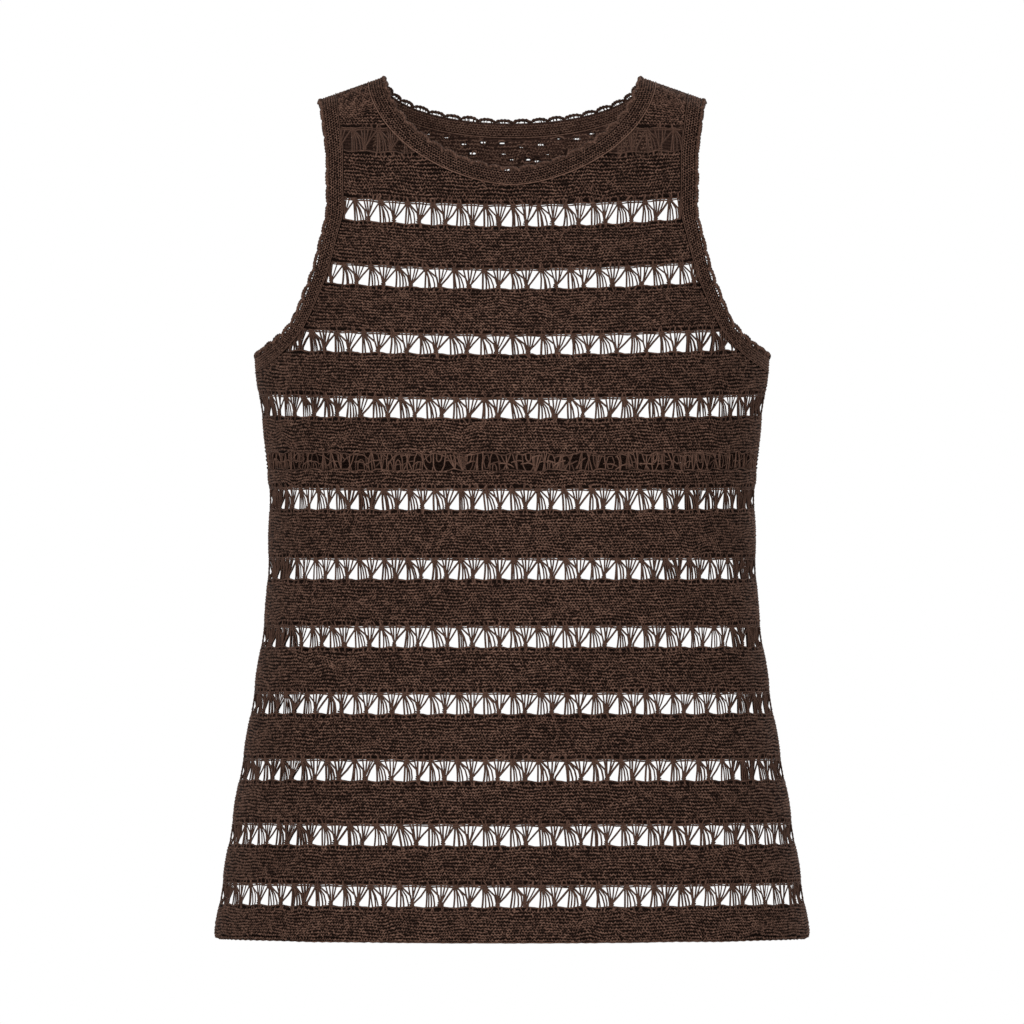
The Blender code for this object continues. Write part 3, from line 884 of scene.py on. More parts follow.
class Courses:
    """How the courses of one panel run: where they sway, swirl and tighten."""

    def __init__(self, cloth, seed):
        self.cloth = cloth
        self.rng = np.random.RandomState(seed)
        self.sway = Wander(seed + 1, shortest=11 * MM, longest=60 * MM)
        self.tight = Wander(seed + 2, shortest=6 * MM, longest=25 * MM)
        self.slip = Wander(seed + 3, shortest=8 * MM, longest=40 * MM)
        limit = cloth.full.max()
        ranges = ((-limit, limit), (SWIRL_TOP, HEM_LEVEL), SWIRL_SIZES, (-SWIRL_TILT, SWIRL_TILT))
        self.swirls = np.stack([self.rng.uniform(*ends, SWIRL_COUNT) for ends in ranges], axis=1)

    def pitch(self, level):
        """The distance between courses, which is also the length of a stitch. The back is knitted
        finer where the neck opening shows it."""
        yoke = self.cloth.side == BACK and level < self.cloth.strips[0][1].level
        return YOKE_PITCH if yoke else COURSE_PITCH[self.cloth.side]

    def levels(self, upper, lower):
        """The levels of the full courses of a plain strip. Beside lace the first stands off, past the
        eyelets, and on the shoulder they lie further apart."""
        start = upper.level + (BELOW_LACE if upper.lace else EDGE_MARGIN)
        end = lower.level - (ABOVE_LACE if lower.lace else EDGE_MARGIN)
        fine = np.linspace(start, end, COURSE_SAMPLES)
        way = np.concatenate([[0], np.cumsum(np.diff(fine) / shoulder_stretch(fine[1:]))])
        count = max(2, round(way[-1] / self.pitch(upper.level)) + 1)
        return np.interp(np.linspace(0, way[-1], count), way, fine)

    def stations(self, level, start, end):
        """The reach of each station of a course, two a stitch. Towards the sides the stitches are
        longer."""
        fine = np.linspace(start, end, STITCH_SAMPLES)
        from_side = (self.cloth.full_reach(level) - np.abs(fine[1:])) / SIDE_STITCH_REACH
        steps = np.diff(fine) / (1 + SIDE_STITCH_GAIN * np.exp(-(from_side**2)))
        way = np.concatenate([[0], np.cumsum(steps)])
        count = 2 * max(1, round(way[-1] / self.pitch(level))) + 1
        return np.interp(np.linspace(0, way[-1], count), way, fine)

    def offset(self, reach, level):
        """How far a course lies below its level where the knit sways and swirls."""
        total = SWAY * self.sway(reach, level)
        for x, y, size, tilt in self.swirls:
            if abs(y - np.mean(level)) > 3 * size:
                continue
            near = np.exp(-((reach - x) ** 2 + (level - y) ** 2) / size**2)
            total = total + tilt * (reach - x) * near
        return total

    def course(self, level, start, end, row, calm=1.0):
        """Reach, level, yarn height, brightness and half-width at the stations of one course, two a
        stitch. Each course swings against the next, which leaves small holes between them."""
        reach = self.stations(level, start, end)
        stations, pitch = len(reach), self.pitch(level)
        flat = np.full(stations, level)
        wave = np.where((np.arange(stations) + row) % 2 == 0, 1.0, -1.0)
        stretch = shoulder_stretch(level)
        size = SWING * pitch * (1 + SWING_CHANGE * self.tight(reach, flat)) * stretch
        noise = self.rng.normal(0, 1, (4, stations))
        reach[1:-1] += SLIP * self.slip(reach, flat)[1:-1]
        down = flat - wave * size + STRAY_DOWN * pitch * noise[0] + calm * self.offset(reach, flat)
        reach[1:-1] += STRAY_ALONG * pitch * noise[1, 1:-1]
        height = COURSE_HEIGHT.at(wave, noise[2])
        grain = COURSE_BRIGHT._replace(stray=COURSE_BRIGHT.stray * stretch**0.7)
        bright = np.clip(grain.at(wave, noise[3]), *BRIGHT_RANGE)
        half_width = COURSE_HALF_WIDTH * pitch * (0.80 + 0.32 * bright) * stretch
        # Painted shade: courses on top of the shoulder are darker, to even out the stronger light there
        return reach, down, height, bright / stretch**0.5, half_width


def lay_course(heap, cloth, course, holes=(), face=1):
    """One course of yarn on the outside of the cloth, or on the inside where face is -1."""
    reach, level, height, bright, half_width = course
    level = bow_away(holes, reach, level)
    # Yarn on the inside takes painted light, as less light reaches it
    base, light = (GROUND_TOP - COURSE_SINK, 1.0) if face > 0 else (GROUND_BOTTOM, INSIDE_PAINTED_LIGHT)
    place, normal = cloth.at(reach, level, base)
    heap.ribbon(place, face * normal, half_width, height, light * bright)


def knit_courses(cloth, courses, first, last, name, material):
    """The wavy courses of the plain strips between two levels."""
    heap, holes = Heap(), yoke_holes(cloth)
    for upper, lower in cloth.strips:
        if not first <= upper.level < last:
            continue
        near = holes if upper.level == 0 else ()
        height = lower.level - upper.level
        for row, level in enumerate(courses.levels(upper, lower)):
            calm = min(1.0, 2.2 * math.sin(math.pi * (level - upper.level) / height))
            for start, end in cloth.spans(level):
                lay_course(heap, cloth, courses.course(level, start, end, row, calm), near)
        for edge, inward in ((upper, 1), (lower, -1)):
            if edge.lace:
                lace_columns(heap, cloth, courses, edge, inward)
        loose_strands(heap, cloth, courses, upper, lower)
    if cloth.side == BACK and first == 0:
        yoke_lining(heap, cloth, courses, holes)
    return heap.piece(name, material)


YOKE_HALF_WIDTH = 0.092


def yoke_lining(heap, cloth, courses, holes):
    """The courses on the inside of the back where the neck opening shows it."""
    upper, lower = cloth.strips[0]
    for row, level in enumerate(courses.levels(upper, lower)):
        for start, end in cloth.spans(level):
            start, end = max(start, -YOKE_HALF_WIDTH), min(end, YOKE_HALF_WIDTH)
            if end - start > 4 * YOKE_PITCH:
                course = courses.course(level + YOKE_PITCH / 2, start, end, row)
                lay_course(heap, cloth, course, holes, face=-1)


# Where the short columns stand beside lace, as shares of a fan from its eyelet, and where their
# stations lie between the lace and the first full course
COLUMNS = (0.17, 0.34, 0.51, 0.74, 0.83)
COLUMN_STATIONS = np.array([0.05, 0.5, 0.95])
COLUMN_STRAY = 0.6 * MM
COLUMN_LEAN = 0.5 * MM
COLUMN_HEIGHT = 0.45 * MM
COLUMN_MARGIN = 1.5 * MM


def lace_columns(heap, cloth, courses, edge, inward):
    """The short upright columns between the holes that border a lace row."""
    rng = courses.rng
    depth = BELOW_LACE if inward > 0 else ABOVE_LACE
    down = inward * COLUMN_STATIONS * depth
    for x in eyelets(cloth, edge, inward)[:, 0]:
        for share in COLUMNS:
            reach = x + share * edge.pitch + rng.normal(0, COLUMN_STRAY)
            lean = rng.normal(0, COLUMN_LEAN) * np.array([-1, 0, 1])
            if abs(reach) < float(cloth.arm_reach(edge.level)) - COLUMN_MARGIN:
                level = edge.at(reach) + down
                place, normal = cloth.at(reach + lean, level, GROUND_TOP)
                half_width = rng.uniform(0.35, 0.85) * MM
                heap.ribbon(place, normal, half_width, COLUMN_HEIGHT, rng.uniform(0.25, 0.7))


# The short strands that slant over the courses: one for each square with sides of LOOSE_SPACING,
# clear of the strip's edges and of the openings. Half-lengths are in millimetres, slants in degrees.
LOOSE_SPACING = 20 * MM
LOOSE_EDGE_MARGIN = 5 * MM
LOOSE_MARGIN = 8 * MM
LOOSE_HALF_LENGTHS = (1.5, 3.2)
LOOSE_SLANTS = (14, 60)
LOOSE_STATIONS = 4
LOOSE_LIFT = 0.35 * MM
LOOSE_BOW = 0.5 * MM
LOOSE_HALF_WIDTH = 0.45 * MM


def loose_strands(heap, cloth, courses, upper, lower):
    """Short strands that slant over the courses of a strip here and there."""
    rng = courses.rng
    top, bottom = upper.level + LOOSE_EDGE_MARGIN, lower.level - LOOSE_EDGE_MARGIN
    count = int(2 * cloth.full_reach(bottom) * (bottom - top) / LOOSE_SPACING**2)
    t = np.linspace(-1, 1, LOOSE_STATIONS)
    for _ in range(max(0, count)):
        level = rng.uniform(top, bottom)
        limit = float(cloth.arm_reach(level)) - LOOSE_MARGIN
        reach = rng.uniform(-limit, limit)
        if abs(reach) < float(cloth.neck_reach(level)) + LOOSE_MARGIN:
            continue
        half = rng.uniform(*LOOSE_HALF_LENGTHS) * MM
        lean = math.radians(rng.uniform(*LOOSE_SLANTS)) * rng.choice([-1, 1])
        place, normal = cloth.at(
            reach + half * math.cos(lean) * t,
            level + half * math.sin(lean) * t + rng.normal(0, LOOSE_BOW) * (1 - t * t),
            LOOSE_LIFT,
        )
        height = (0.25 + 0.55 * (1 - t * t)) * MM
        # The strand is darker towards its ends, painted shade where it dips into the courses
        heap.ribbon(place, normal, LOOSE_HALF_WIDTH, height, 0.85 - 0.35 * t * t)


class Strand(NamedTuple):
    """One strand of a fan, in shares of the pitch from the fan's upper knot: where it leaves the upper
    edge and meets the lower one, how far it bows sideways, the shares of the height where it leaves
    and arrives, and its radius."""

    top: float
    bottom: float
    bow: float
    leaves: float
    arrives: float
    radius: float


FAN = (
    Strand(-0.03, -0.46, 0.00, 0.14, 0.84, 0.62 * MM),
    Strand(-0.02, -0.03, 0.01, 0.12, 1.00, 0.64 * MM),
    Strand(0.02, 0.09, 0.03, 0.12, 1.00, 0.52 * MM),
    Strand(0.03, 0.20, 0.06, 0.12, 1.00, 0.52 * MM),
    Strand(0.05, 0.32, 0.10, 0.12, 1.00, 0.52 * MM),
    Strand(0.06, 0.46, 0.13, 0.10, 0.84, 0.60 * MM),
    Strand(0.33, 0.49, -0.01, 0.00, 0.82, 0.50 * MM),
    Strand(0.48, 0.50, 0.00, 0.00, 0.88, 0.56 * MM),
    Strand(0.63, 0.51, 0.01, 0.00, 0.84, 0.50 * MM),
    Strand(0.78, 0.52, 0.02, 0.00, 0.82, 0.48 * MM),
)
STRAND_STATIONS = np.array([0.0, 0.16, 0.5, 0.82, 1.0])

# How much the fans differ by chance, as shares of the pitch
KNOT_STRAY = 0.03
TOP_STRAY = 0.016
BOTTOM_STRAY = 0.020
BOW_STRAY = 0.014

# How far the strands reach past the upper and the lower edge
PAST_UPPER_EDGE = 0.6 * MM
PAST_LOWER_EDGE = 0.5 * MM

# How the strands bow outwards and stand off the cloth, in millimetres, and how much thicker or brighter
# one is than the next
STRAND_BOW = 0.05
STRAND_BOW_STRAY = 0.25
STRAND_STAND_STRAY = 0.12
STRAND_THICKNESS = 1.05
STRAND_THICKNESS_STRAY = 0.06
STRAND_BRIGHT_STRAY = 0.12

# How far lace keeps from a seam, how far it runs under a band, and how it is drawn in at the sides
LACE_CLEAR = 0.9 * MM
SEAM_CLEAR = 0.5 * MM
UNDER_BAND = 2.2 * MM
SIDE_SINK = 2.7 * MM
SIDE_SINK_REACH = 24 * MM


def sunk_at_side(cloth, reach, level):
    """How far the lace is drawn in near the side seams, below the armholes."""
    from_side = (cloth.full_reach(level) - np.abs(reach)) / SIDE_SINK_REACH
    return np.where(level > cloth.armhole_bottom, SIDE_SINK * np.exp(-(from_side**2)), 0.0)


def lace_row(heap, cloth, row, rng, sides):
    """A row of fans between its two edge cords."""
    upper, lower = row_edges(row)
    front = cloth.ahead or cloth
    limit = float(front.arm_reach((upper.level + lower.level) / 2))
    count = int(limit / row.pitch) + 3
    knots = np.arange(-count, count + 1)
    strands = np.array(FAN)
    shape = (len(knots), len(strands))
    knot_shift = rng.normal(0, KNOT_STRAY, (len(knots), 2))
    top = strands[:, 0] + knots[:, None] + knot_shift[:, :1] + rng.normal(0, TOP_STRAY, shape)
    bottom = strands[:, 1] + knots[:, None] + knot_shift[:, 1:] + rng.normal(0, BOTTOM_STRAY, shape)
    bow = strands[:, 2] + rng.normal(0, BOW_STRAY, shape)
    t = STRAND_STATIONS[None, None]
    leaves, arrives = strands[None, :, 3, None], strands[None, :, 4, None]
    eased = np.clip((t - leaves) / (arrives - leaves), 0, 1)
    reach = top[..., None] + (bottom - top)[..., None] * eased
    reach = (reach + bow[..., None] * np.sin(math.pi * eased)) * row.pitch
    start, end = upper.at(reach) - PAST_UPPER_EDGE, lower.at(reach) + PAST_LOWER_EDGE
    level = start + (end - start) * t
    lift = rng.normal(STRAND_BOW, STRAND_BOW_STRAY, shape)[..., None] * MM * np.sin(math.pi * t)
    lift = lift + rng.normal(0, STRAND_STAND_STRAY, shape)[..., None] * MM
    reach = cloth.behind(reach, level)
    seam, neck = cloth.arm_reach(level), cloth.neck_reach(level)
    mirror = np.where(reach[..., 2:3] < 0, -1.0, 1.0)
    out = mirror * reach
    if row.top > cloth.armhole_bottom:
        outer, least = seam - LACE_CLEAR, 4
    else:
        outer, least = seam + UNDER_BAND, 2
    inner = np.where(level < cloth.neck_bottom, neck - UNDER_BAND, -1.0)
    kept = (out < np.minimum(outer, seam - SEAM_CLEAR) + 0.1 * MM).sum(axis=2) >= least
    kept &= (out > inner + UNDER_BAND + SEAM_CLEAR).sum(axis=2) >= 2
    reach = mirror * np.clip(out, inner, outer)
    lift = lift - sunk_at_side(cloth, reach, level) * np.sin(math.pi * t) ** 1.3
    reach, level, lift = reach[kept], level[kept], lift[kept]
    radius = np.broadcast_to(strands[:, 5], shape)[kept][:, None]
    thickness = STRAND_THICKNESS + rng.normal(0, STRAND_THICKNESS_STRAY, shape)[kept][:, None]
    place, normal = cloth.at(reach, level, lift)
    radius = radius * thickness * (0.66 + 0.34 * np.abs(normal[..., 1]))
    bright = TUBE_BRIGHT * (1 + rng.normal(0, STRAND_BRIGHT_STRAY, reach.shape))
    heap.tubes(place, normal, radius, sides, bright)
    knot_loops(heap, cloth, row, upper, lower, knots, knot_shift, rng)


# The loops round the knots: how far they stray, sag, and stand off the cloth
KNOT_STATIONS = 5
KNOT_SHIFT = 0.15 * MM
KNOT_SAG = 0.4 * MM
KNOT_LIFT = 0.45 * MM
KNOT_RADIUS = 0.60 * MM


def knot_loops(heap, cloth, row, upper, lower, knots, shift, rng):
    """The loops that bind the strands of each fan at its upper and lower knot."""
    share = np.linspace(-1, 1, KNOT_STATIONS)
    arch = np.sqrt(1 - 0.9 * share**2)
    for edge, where, column, down, half, depths in (
        (upper, 0.02, 0, 1, 1.8 * MM, (1.5, 2.6)),
        (lower, 0.49, 1, -1, 1.6 * MM, (1.0, 2.3)),
    ):
        for depth in depths:
            stray = rng.normal(0, KNOT_SHIFT, len(knots))
            middle = (knots + where + shift[:, column]) * row.pitch + stray
            width = half * (1.15 - 0.22 * depth)
            reach = middle[:, None] + width * share
            level = edge.at(reach) + down * (depth * MM + KNOT_SAG * share**2)
            reach = cloth.behind(reach, level)
            out = np.abs(reach)
            kept = out.max(axis=1) < float(cloth.arm_reach(edge.level)) - LACE_CLEAR
            if edge.level < cloth.neck_bottom:
                kept &= out.min(axis=1) > float(cloth.neck_reach(edge.level)) + LACE_CLEAR
            if kept.any():
                place, normal = cloth.at(reach[kept], level[kept], KNOT_LIFT * arch)
                heap.tubes(place, normal, KNOT_RADIUS * (0.75 + 0.25 * arch), 4)


# The cord along each edge, and the thinner second cord above a row of lace
CORD_STEP = 2.9 * MM
CORD_STRAY = 0.10 * MM
CORD_RADIUS = 0.55 * MM
CORD_KNOB = 0.07 * MM
CORD_BRIGHT = Measure(0.46, 0.0, 0.16)
SECOND_CORD = 1.15 * MM
SECOND_CORD_RADIUS = 0.48 * MM


def edge_cord(heap, cloth, edge, rng, sides, thick=CORD_RADIUS):
    """The cord along an edge of a strip, lightly knotted."""
    front = cloth.ahead or cloth
    for start, end in front.spans(edge.level):
        stations = max(3, round((end - start) / CORD_STEP))
        reach = np.linspace(start, end, stations)
        level = edge.at(reach) + rng.normal(0, CORD_STRAY, stations)
        knobs = np.cos(np.arange(stations) * math.pi)
        place, normal = cloth.at(cloth.behind(reach, level), level, (0.15 + 0.18 * knobs) * MM)
        bright = np.clip(CORD_BRIGHT.at(0.0, rng.normal(0, 1, stations)), 0.1, 0.9)
        heap.tubes(place[None], normal[None], thick + CORD_KNOB * knobs, sides, bright)


# The units of the narrow row and how often each comes. Widths are in millimetres.
NARROW_KINDS = {"nest": 0.36, "fork": 0.34, "cross": 0.18, "ring": 0.12}
NARROW_STATIONS = 7
NARROW_WIDTHS = (4.5, 8.5)
NARROW_MARGIN = 2 * MM
NARROW_LEAST = 4 * MM
NARROW_INSET = 0.3 * MM


def narrow_lines(rng):
    """The strands of one unit of the narrow row, as shares of its width and of the row's height."""
    t = np.linspace(0, 1, NARROW_STATIONS)
    kind = rng.choice(list(NARROW_KINDS), p=list(NARROW_KINDS.values()))
    lines = []
    if kind == "nest":
        lean = rng.normal(0, 0.12)
        for share in (1.0, rng.uniform(0.42, 0.62)):
            across = 0.5 - 0.5 * share * np.cos(math.pi * t) + lean * np.sin(math.pi * t)
            lines.append((across, share * np.sin(math.pi * t) ** 0.6))
    elif kind == "fork":
        foot = rng.uniform(0.3, 0.7)
        for k in range(rng.randint(3, 6)):
            head = (k + 0.3) / 4.5 + rng.normal(0, 0.04)
            across = foot + (head - foot) * t + rng.normal(0, 0.08) * np.sin(math.pi * t)
            lines.append((across, t * rng.uniform(0.85, 1.0)))
    elif kind == "cross":
        for first, last in ((0.1, 0.75), (0.9, 0.3), (0.5, 0.55)):
            across = first + (last - first) * t + rng.normal(0, 0.07) * np.sin(math.pi * t)
            lines.append((across, t))
    else:
        turn = 2 * math.pi * t
        across = 0.5 + 0.34 * np.cos(turn)
        lines.append((across, 0.5 + 0.40 * np.sin(turn)))
        lines.append((0.06 + 0.05 * np.sin(turn), t))
    if rng.uniform() < 0.5:
        lines = [(across, 1 - up) for across, up in lines]
    for share, middle in ((0.6, 0.80), (0.8, 0.42)):
        if rng.uniform() < share:
            slant = rng.normal(0, 0.14) * (2 * t - 1) + 0.08 * np.sin(math.pi * t)
            lines.append((1.2 * t - 0.1, middle + slant + rng.normal(0, 0.06)))
    return lines


def narrow_row(heap, cloth, rng):
    """The narrow uneven openwork row: nested arches, forks, crossed strands and rings."""
    limit = float(cloth.arm_reach(NARROW_TOP)) - NARROW_MARGIN
    top, bottom = next(
        (above[1], below[0]) for above, below in zip(cloth.strips, cloth.strips[1:])
        if above[1].level == NARROW_TOP
    )
    at = -limit
    while at < limit - NARROW_LEAST:
        width = rng.uniform(*NARROW_WIDTHS) * MM
        for across, up in narrow_lines(rng):
            reach = np.clip(at + width * across, -limit, limit)
            low, high = bottom.at(reach) + NARROW_INSET, top.at(reach) - NARROW_INSET
            lift = rng.uniform(0.0, 0.5) * MM * np.sin(math.pi * up)
            place, normal = cloth.at(reach, low + (high - low) * up, lift)
            radius = rng.uniform(0.36, 0.54) * MM * (0.7 + 0.3 * np.abs(normal[:, 1]))
            heap.tubes(place[None], normal[None], radius, 4, bright=rng.uniform(0.35, 0.85))
        at += width * rng.uniform(0.85, 1.05)


LACE_SEED = 111
NARROW_SEED = 151
CORD_SEED = 161


def knit_lace(cloth, sides, material):
    """The rows of fans. A row of the back is drawn with the seed of the front's row before it."""
    heap = Heap()
    for number, row in enumerate(cloth.rows, len(LACE_ROWS) - len(cloth.rows)):
        lace_row(heap, cloth, row, np.random.RandomState(LACE_SEED + number), sides)
    if cloth.side == FRONT:
        narrow_row(heap, cloth, np.random.RandomState(NARROW_SEED))
    return heap.piece(cloth.name + "_lace", material)


def knit_cords(cloth, sides, material):
    """The cords along the edges of the strips, and the rolled edge of the hem."""
    heap, rng = Heap(), np.random.RandomState(CORD_SEED)
    for upper, lower in cloth.strips:
        for edge in (upper, lower):
            if edge.level > 0:
                edge_cord(heap, cloth, edge, rng, sides)
        if lower.lace:
            second = lower._replace(level=lower.level + SECOND_CORD)
            edge_cord(heap, cloth, second, rng, sides, SECOND_CORD_RADIUS)
    return heap.piece(cloth.name + "_cords", material)


class Opening:
    """The ring of a seam round an opening: places, the direction out of the cloth and the one into
    the opening, read at a way along the ring, a width into the opening and a lift."""

    def __init__(self, front_points, back_points):
        places, outwards = [], []
        for cloth, (reach, level) in (front_points, back_points):
            place, normal = cloth.at(reach, level)
            places.append(place)
            outwards.append(normal)
        place = np.concatenate([places[0][:-1], places[1][::-1][:-1]])
        outward = np.concatenate([outwards[0][:-1], outwards[1][::-1][:-1]])
        run = np.roll(place, -1, axis=0) - np.roll(place, 1, axis=0)
        inward = unit(np.cross(outward, run))
        middle = place.mean(axis=0)
        flip = np.sign(((middle - place) * inward).sum(axis=1, keepdims=True))
        closed = np.concatenate([place, place[:1]])
        self.way = along(closed)
        self.length = self.way[-1]
        table = np.concatenate([place, outward, inward * flip], axis=1)
        self.table = np.concatenate([table, table[:1]])
        front_levels = front_points[1][1]
        ends = ((0, 0.0), (-1, self.way[len(places[0]) - 1]))
        self.shoulders = [way for end, way in ends if front_levels[end] == 0]

    def at(self, way, width, lift):
        way = np.asarray(way) % self.length
        found = np.stack([np.interp(way, self.way, column) for column in self.table.T], -1)
        place, outward, inward = found[..., :3], unit(found[..., 3:6]), unit(found[..., 6:])
        width = np.broadcast_to(width, way.shape)[..., None]
        lift = np.broadcast_to(lift, way.shape)[..., None]
        return place + inward * width + outward * lift, outward

    def steps(self, step):
        count = max(8, round(self.length / step))
        return np.arange(count) * self.length / count

    def from_shoulder(self, way):
        """How far each way along the ring is from the nearest shoulder seam."""
        half = self.length / 2
        apart = [np.abs((way - top + half) % (2 * half) - half) for top in self.shoulders]
        return np.min(apart, axis=0)


class Trim(NamedTuple):
    """How an opening is finished: the brightness and radius of the cord on its seam, how far from the
    shoulder its scallops lie lower, how much further out they stand just beside it, and the
    brightness of its stitches."""

    seam_bright: float
    seam_radius: float
    low_way: float
    tip: float
    stitch_bright: float


NECK_TRIM = Trim(0.85, 0.44 * MM, 26 * MM, 0.0, 1.07)
ARMHOLE_TRIM = Trim(0.40, 0.36 * MM, 150 * MM, 1.3 * MM, 1.20)

# Where the scallops of the armholes stand further out beside a shoulder, and the twist of their yarns
TIP_PLACE = 7 * MM
TIP_REACH = 7 * MM
TWIST_COUNT = 2.5
TWIST_RADIUS = 0.55 * MM

# The columns of stitches of a band, by their way from its seam, and the shell under them
BAND_COLUMNS = (1.35 * MM, 3.05 * MM, 4.75 * MM, 6.45 * MM, 8.15 * MM)
BAND_STITCH = 1.95 * MM
BAND_TOP = 0.45 * MM
BAND_BOTTOM = -0.60 * MM
BAND_SWELL = 0.15 * MM

# The stitches of a band, the cord on its seam and the cord on its free edge
BAND_ALONG_STRAY = 0.10 * MM
BAND_SWING = 0.52 * MM
BAND_SWING_STRAY = 0.17 * MM
BAND_HEIGHT = Measure(0.42 * MM, 0.20 * MM, 0.07 * MM)
# Brightness of a band's stitches: the swing is painted light on the rises and painted shade in the dips,
# and the stray is random tone
BAND_BRIGHT = Measure(0.62, 0.20, 0.30)
BAND_YARN_HALF_WIDTH = 0.48 * MM
SEAM_CORD_STEP = 1.25 * MM
EDGE_CORD_STEP = 1.6 * MM
EDGE_CORD_INSET = 0.2 * MM
EDGE_CORD_RADIUS = 0.55 * MM
EDGE_CORD_KNOB = 0.06 * MM

# The scallops: stations of an arch, how low an arch lies beside how high it may, the radius of its
# yarns, and where the strands cross the slit beneath it
SCALLOP_STATIONS = 17
SCALLOP_MIDDLE = SCALLOP_STATIONS // 2
SCALLOP_TUCK = 0.8 * MM
PICOT_RADIUS = 0.78 * MM
PICOT_BRIGHT = Measure(0.55, 0.0, 0.20)
PICOT_BRIGHT_RANGE = (0.1, 1.1)
SLIT_CROSSINGS = (0.22, 0.42, 0.60, 0.80)


def knit_band(name, opening, material):
    """The flat shell of a band."""
    heap = Heap()
    way = opening.steps(EDGE_STEP)
    corners = (
        (0.0, BAND_TOP),
        (0.5 * BAND_WIDTH, BAND_TOP + BAND_SWELL),
        (BAND_WIDTH, BAND_TOP),
        (BAND_WIDTH, BAND_BOTTOM),
        (0.5 * BAND_WIDTH, BAND_BOTTOM),
        (0.0, BAND_BOTTOM),
    )
    rows = [opening.at(way, width, lift)[0] for width, lift in corners]
    points = np.stack(rows, axis=1)
    index = np.arange(points.shape[0] * len(corners)).reshape(-1, len(corners))
    ahead = np.roll(index, -1, axis=0)
    quads = np.stack(
        [index, np.roll(index, -1, axis=1), np.roll(ahead, -1, axis=1), ahead], -1
    ).reshape(-1, 4)
    if signed_volume(points.reshape(-1, 3), quads) < 0:
        quads = quads[:, ::-1]
    # Crown 0 on the band's top face gives it painted shade under the stitches; the lower face shows the
    # lighter inside courses
    heap.add(points, [quads], np.tile([0.0, 0.0, 0.0, 0.3, 0.3, 0.3], len(points)))
    return heap.piece(name + "_cloth", material)


def signed_volume(points, quads):
    """Six times the volume inside the faces, negative where they point inwards."""
    a, b, c, d = (points[quads[:, k]] for k in range(4))
    return float((a * np.cross(b, c)).sum() + (a * np.cross(c, d)).sum())


def band_stitches(name, opening, trim, seed, material):
    """The columns of small stitches on both faces of a band, and the cord on its seam."""
    heap, rng = Heap(), np.random.RandomState(seed)
    count = 2 * round(opening.length / BAND_STITCH)
    for face, base in ((1, BAND_TOP), (-1, BAND_BOTTOM)):
        for k, column in enumerate(BAND_COLUMNS):
            noise = rng.normal(0, 1, (4, count))
            wave = np.where((np.arange(count) + k) % 2 == 0, 1.0, -1.0)
            way = np.arange(count) * opening.length / count + BAND_ALONG_STRAY * noise[0]
            width = Measure(column, BAND_SWING, BAND_SWING_STRAY).at(wave, noise[1])
            place, normal = opening.at(way, width, base)
            height = BAND_HEIGHT.at(wave, noise[2])
            bright = np.clip(BAND_BRIGHT.at(wave, noise[3]), *BRIGHT_RANGE)
            # Yarn on the inside of the band takes painted light
            bright = bright * (trim.stitch_bright if face > 0 else INSIDE_PAINTED_LIGHT)
            heap.ribbon(place, face * normal, BAND_YARN_HALF_WIDTH, height, bright, closed=True)
        way = opening.steps(SEAM_CORD_STEP)
        knobs = np.cos(np.arange(len(way)) * math.pi)
        place, normal = opening.at(way, 0.0, base + face * (0.42 + 0.05 * knobs) * MM)
        heap.loops(place, normal, trim.seam_radius + 0.05 * MM * knobs, bright=trim.seam_bright)
    way = opening.steps(EDGE_CORD_STEP)
    knobs = np.cos(np.arange(len(way)) * math.pi)
    place, normal = opening.at(way, BAND_WIDTH - EDGE_CORD_INSET, 0.0)
    heap.loops(place, normal, EDGE_CORD_RADIUS + EDGE_CORD_KNOB * knobs)
    return heap.piece(name + "_stitches", material)


def picot_edging(name, opening, trim, seed, material):
    """The scalloped edging: an arch of two twisted yarns from root to root, with a slit beneath it that
    thin strands cross. Near the shoulders the arches are lower."""
    heap, rng = Heap(), np.random.RandomState(seed)
    count = round(opening.length / SCALLOP_LENGTH)
    t = np.linspace(0, 1, SCALLOP_STATIONS)
    roots = (np.arange(count) + rng.normal(0, 0.03, count)) / count * opening.length
    ahead = np.roll(roots, -1) + np.where(np.arange(count) == count - 1, opening.length, 0)
    way = roots[:, None] + (ahead - roots)[:, None] * t
    apart = opening.from_shoulder(way)
    open_part = np.clip(apart / trim.low_way, 0, 1) ** 2
    rise = SCALLOP_RISE - SCALLOP_TUCK + rng.normal(0, 0.2 * MM, (count, 1))
    rise = rise * (0.45 + 0.55 * open_part)
    width = BAND_WIDTH + rise * np.sin(math.pi * t) ** (0.25 + 0.3 * open_part)
    width = width + trim.tip * np.exp(-(((apart - TIP_PLACE) / TIP_REACH) ** 2))
    lift = 0.30 * MM * np.cos(2 * math.pi * t) + rng.normal(0, 0.15 * MM, (count, 1))
    for phase in (0.0, math.pi):
        twist = 2 * math.pi * TWIST_COUNT * t + phase
        across, up = TWIST_RADIUS * np.cos(twist), TWIST_RADIUS * np.sin(twist)
        place, normal = opening.at(way, width + across, lift + up)
        radius = PICOT_RADIUS * (1 + rng.normal(0, 0.06, way.shape))
        bright = np.clip(PICOT_BRIGHT.at(0.0, rng.normal(0, 1, way.shape)), *PICOT_BRIGHT_RANGE)
        heap.tubes(place, normal, radius, 4, bright)
    for share in SLIT_CROSSINGS:
        cross = share + rng.normal(0, 0.05, (count, 1))
        way = roots[:, None] + (ahead - roots)[:, None] * (cross + np.array([-0.02, 0, 0.02]))
        width = BAND_WIDTH + rise[:, SCALLOP_MIDDLE, None] * np.array([0.0, 0.5, 1.0])
        place, normal = opening.at(way, width, 0.0)
        thick = rng.uniform(0.25, 0.60, (count, 1)) * MM
        heap.tubes(place, normal, np.broadcast_to(thick, way.shape), 3, 0.4, under=1.0)
    return heap.piece(name, material)


SEAM_STEP = 1.4 * MM
SIDE_SEAM_RADIUS = 0.64 * MM
SHOULDER_SEAM_RADIUS = 0.62 * MM
SHOULDER_SEAM_LIFT = 0.1 * MM
SIDE_STRAND_RADIUS = 0.56 * MM


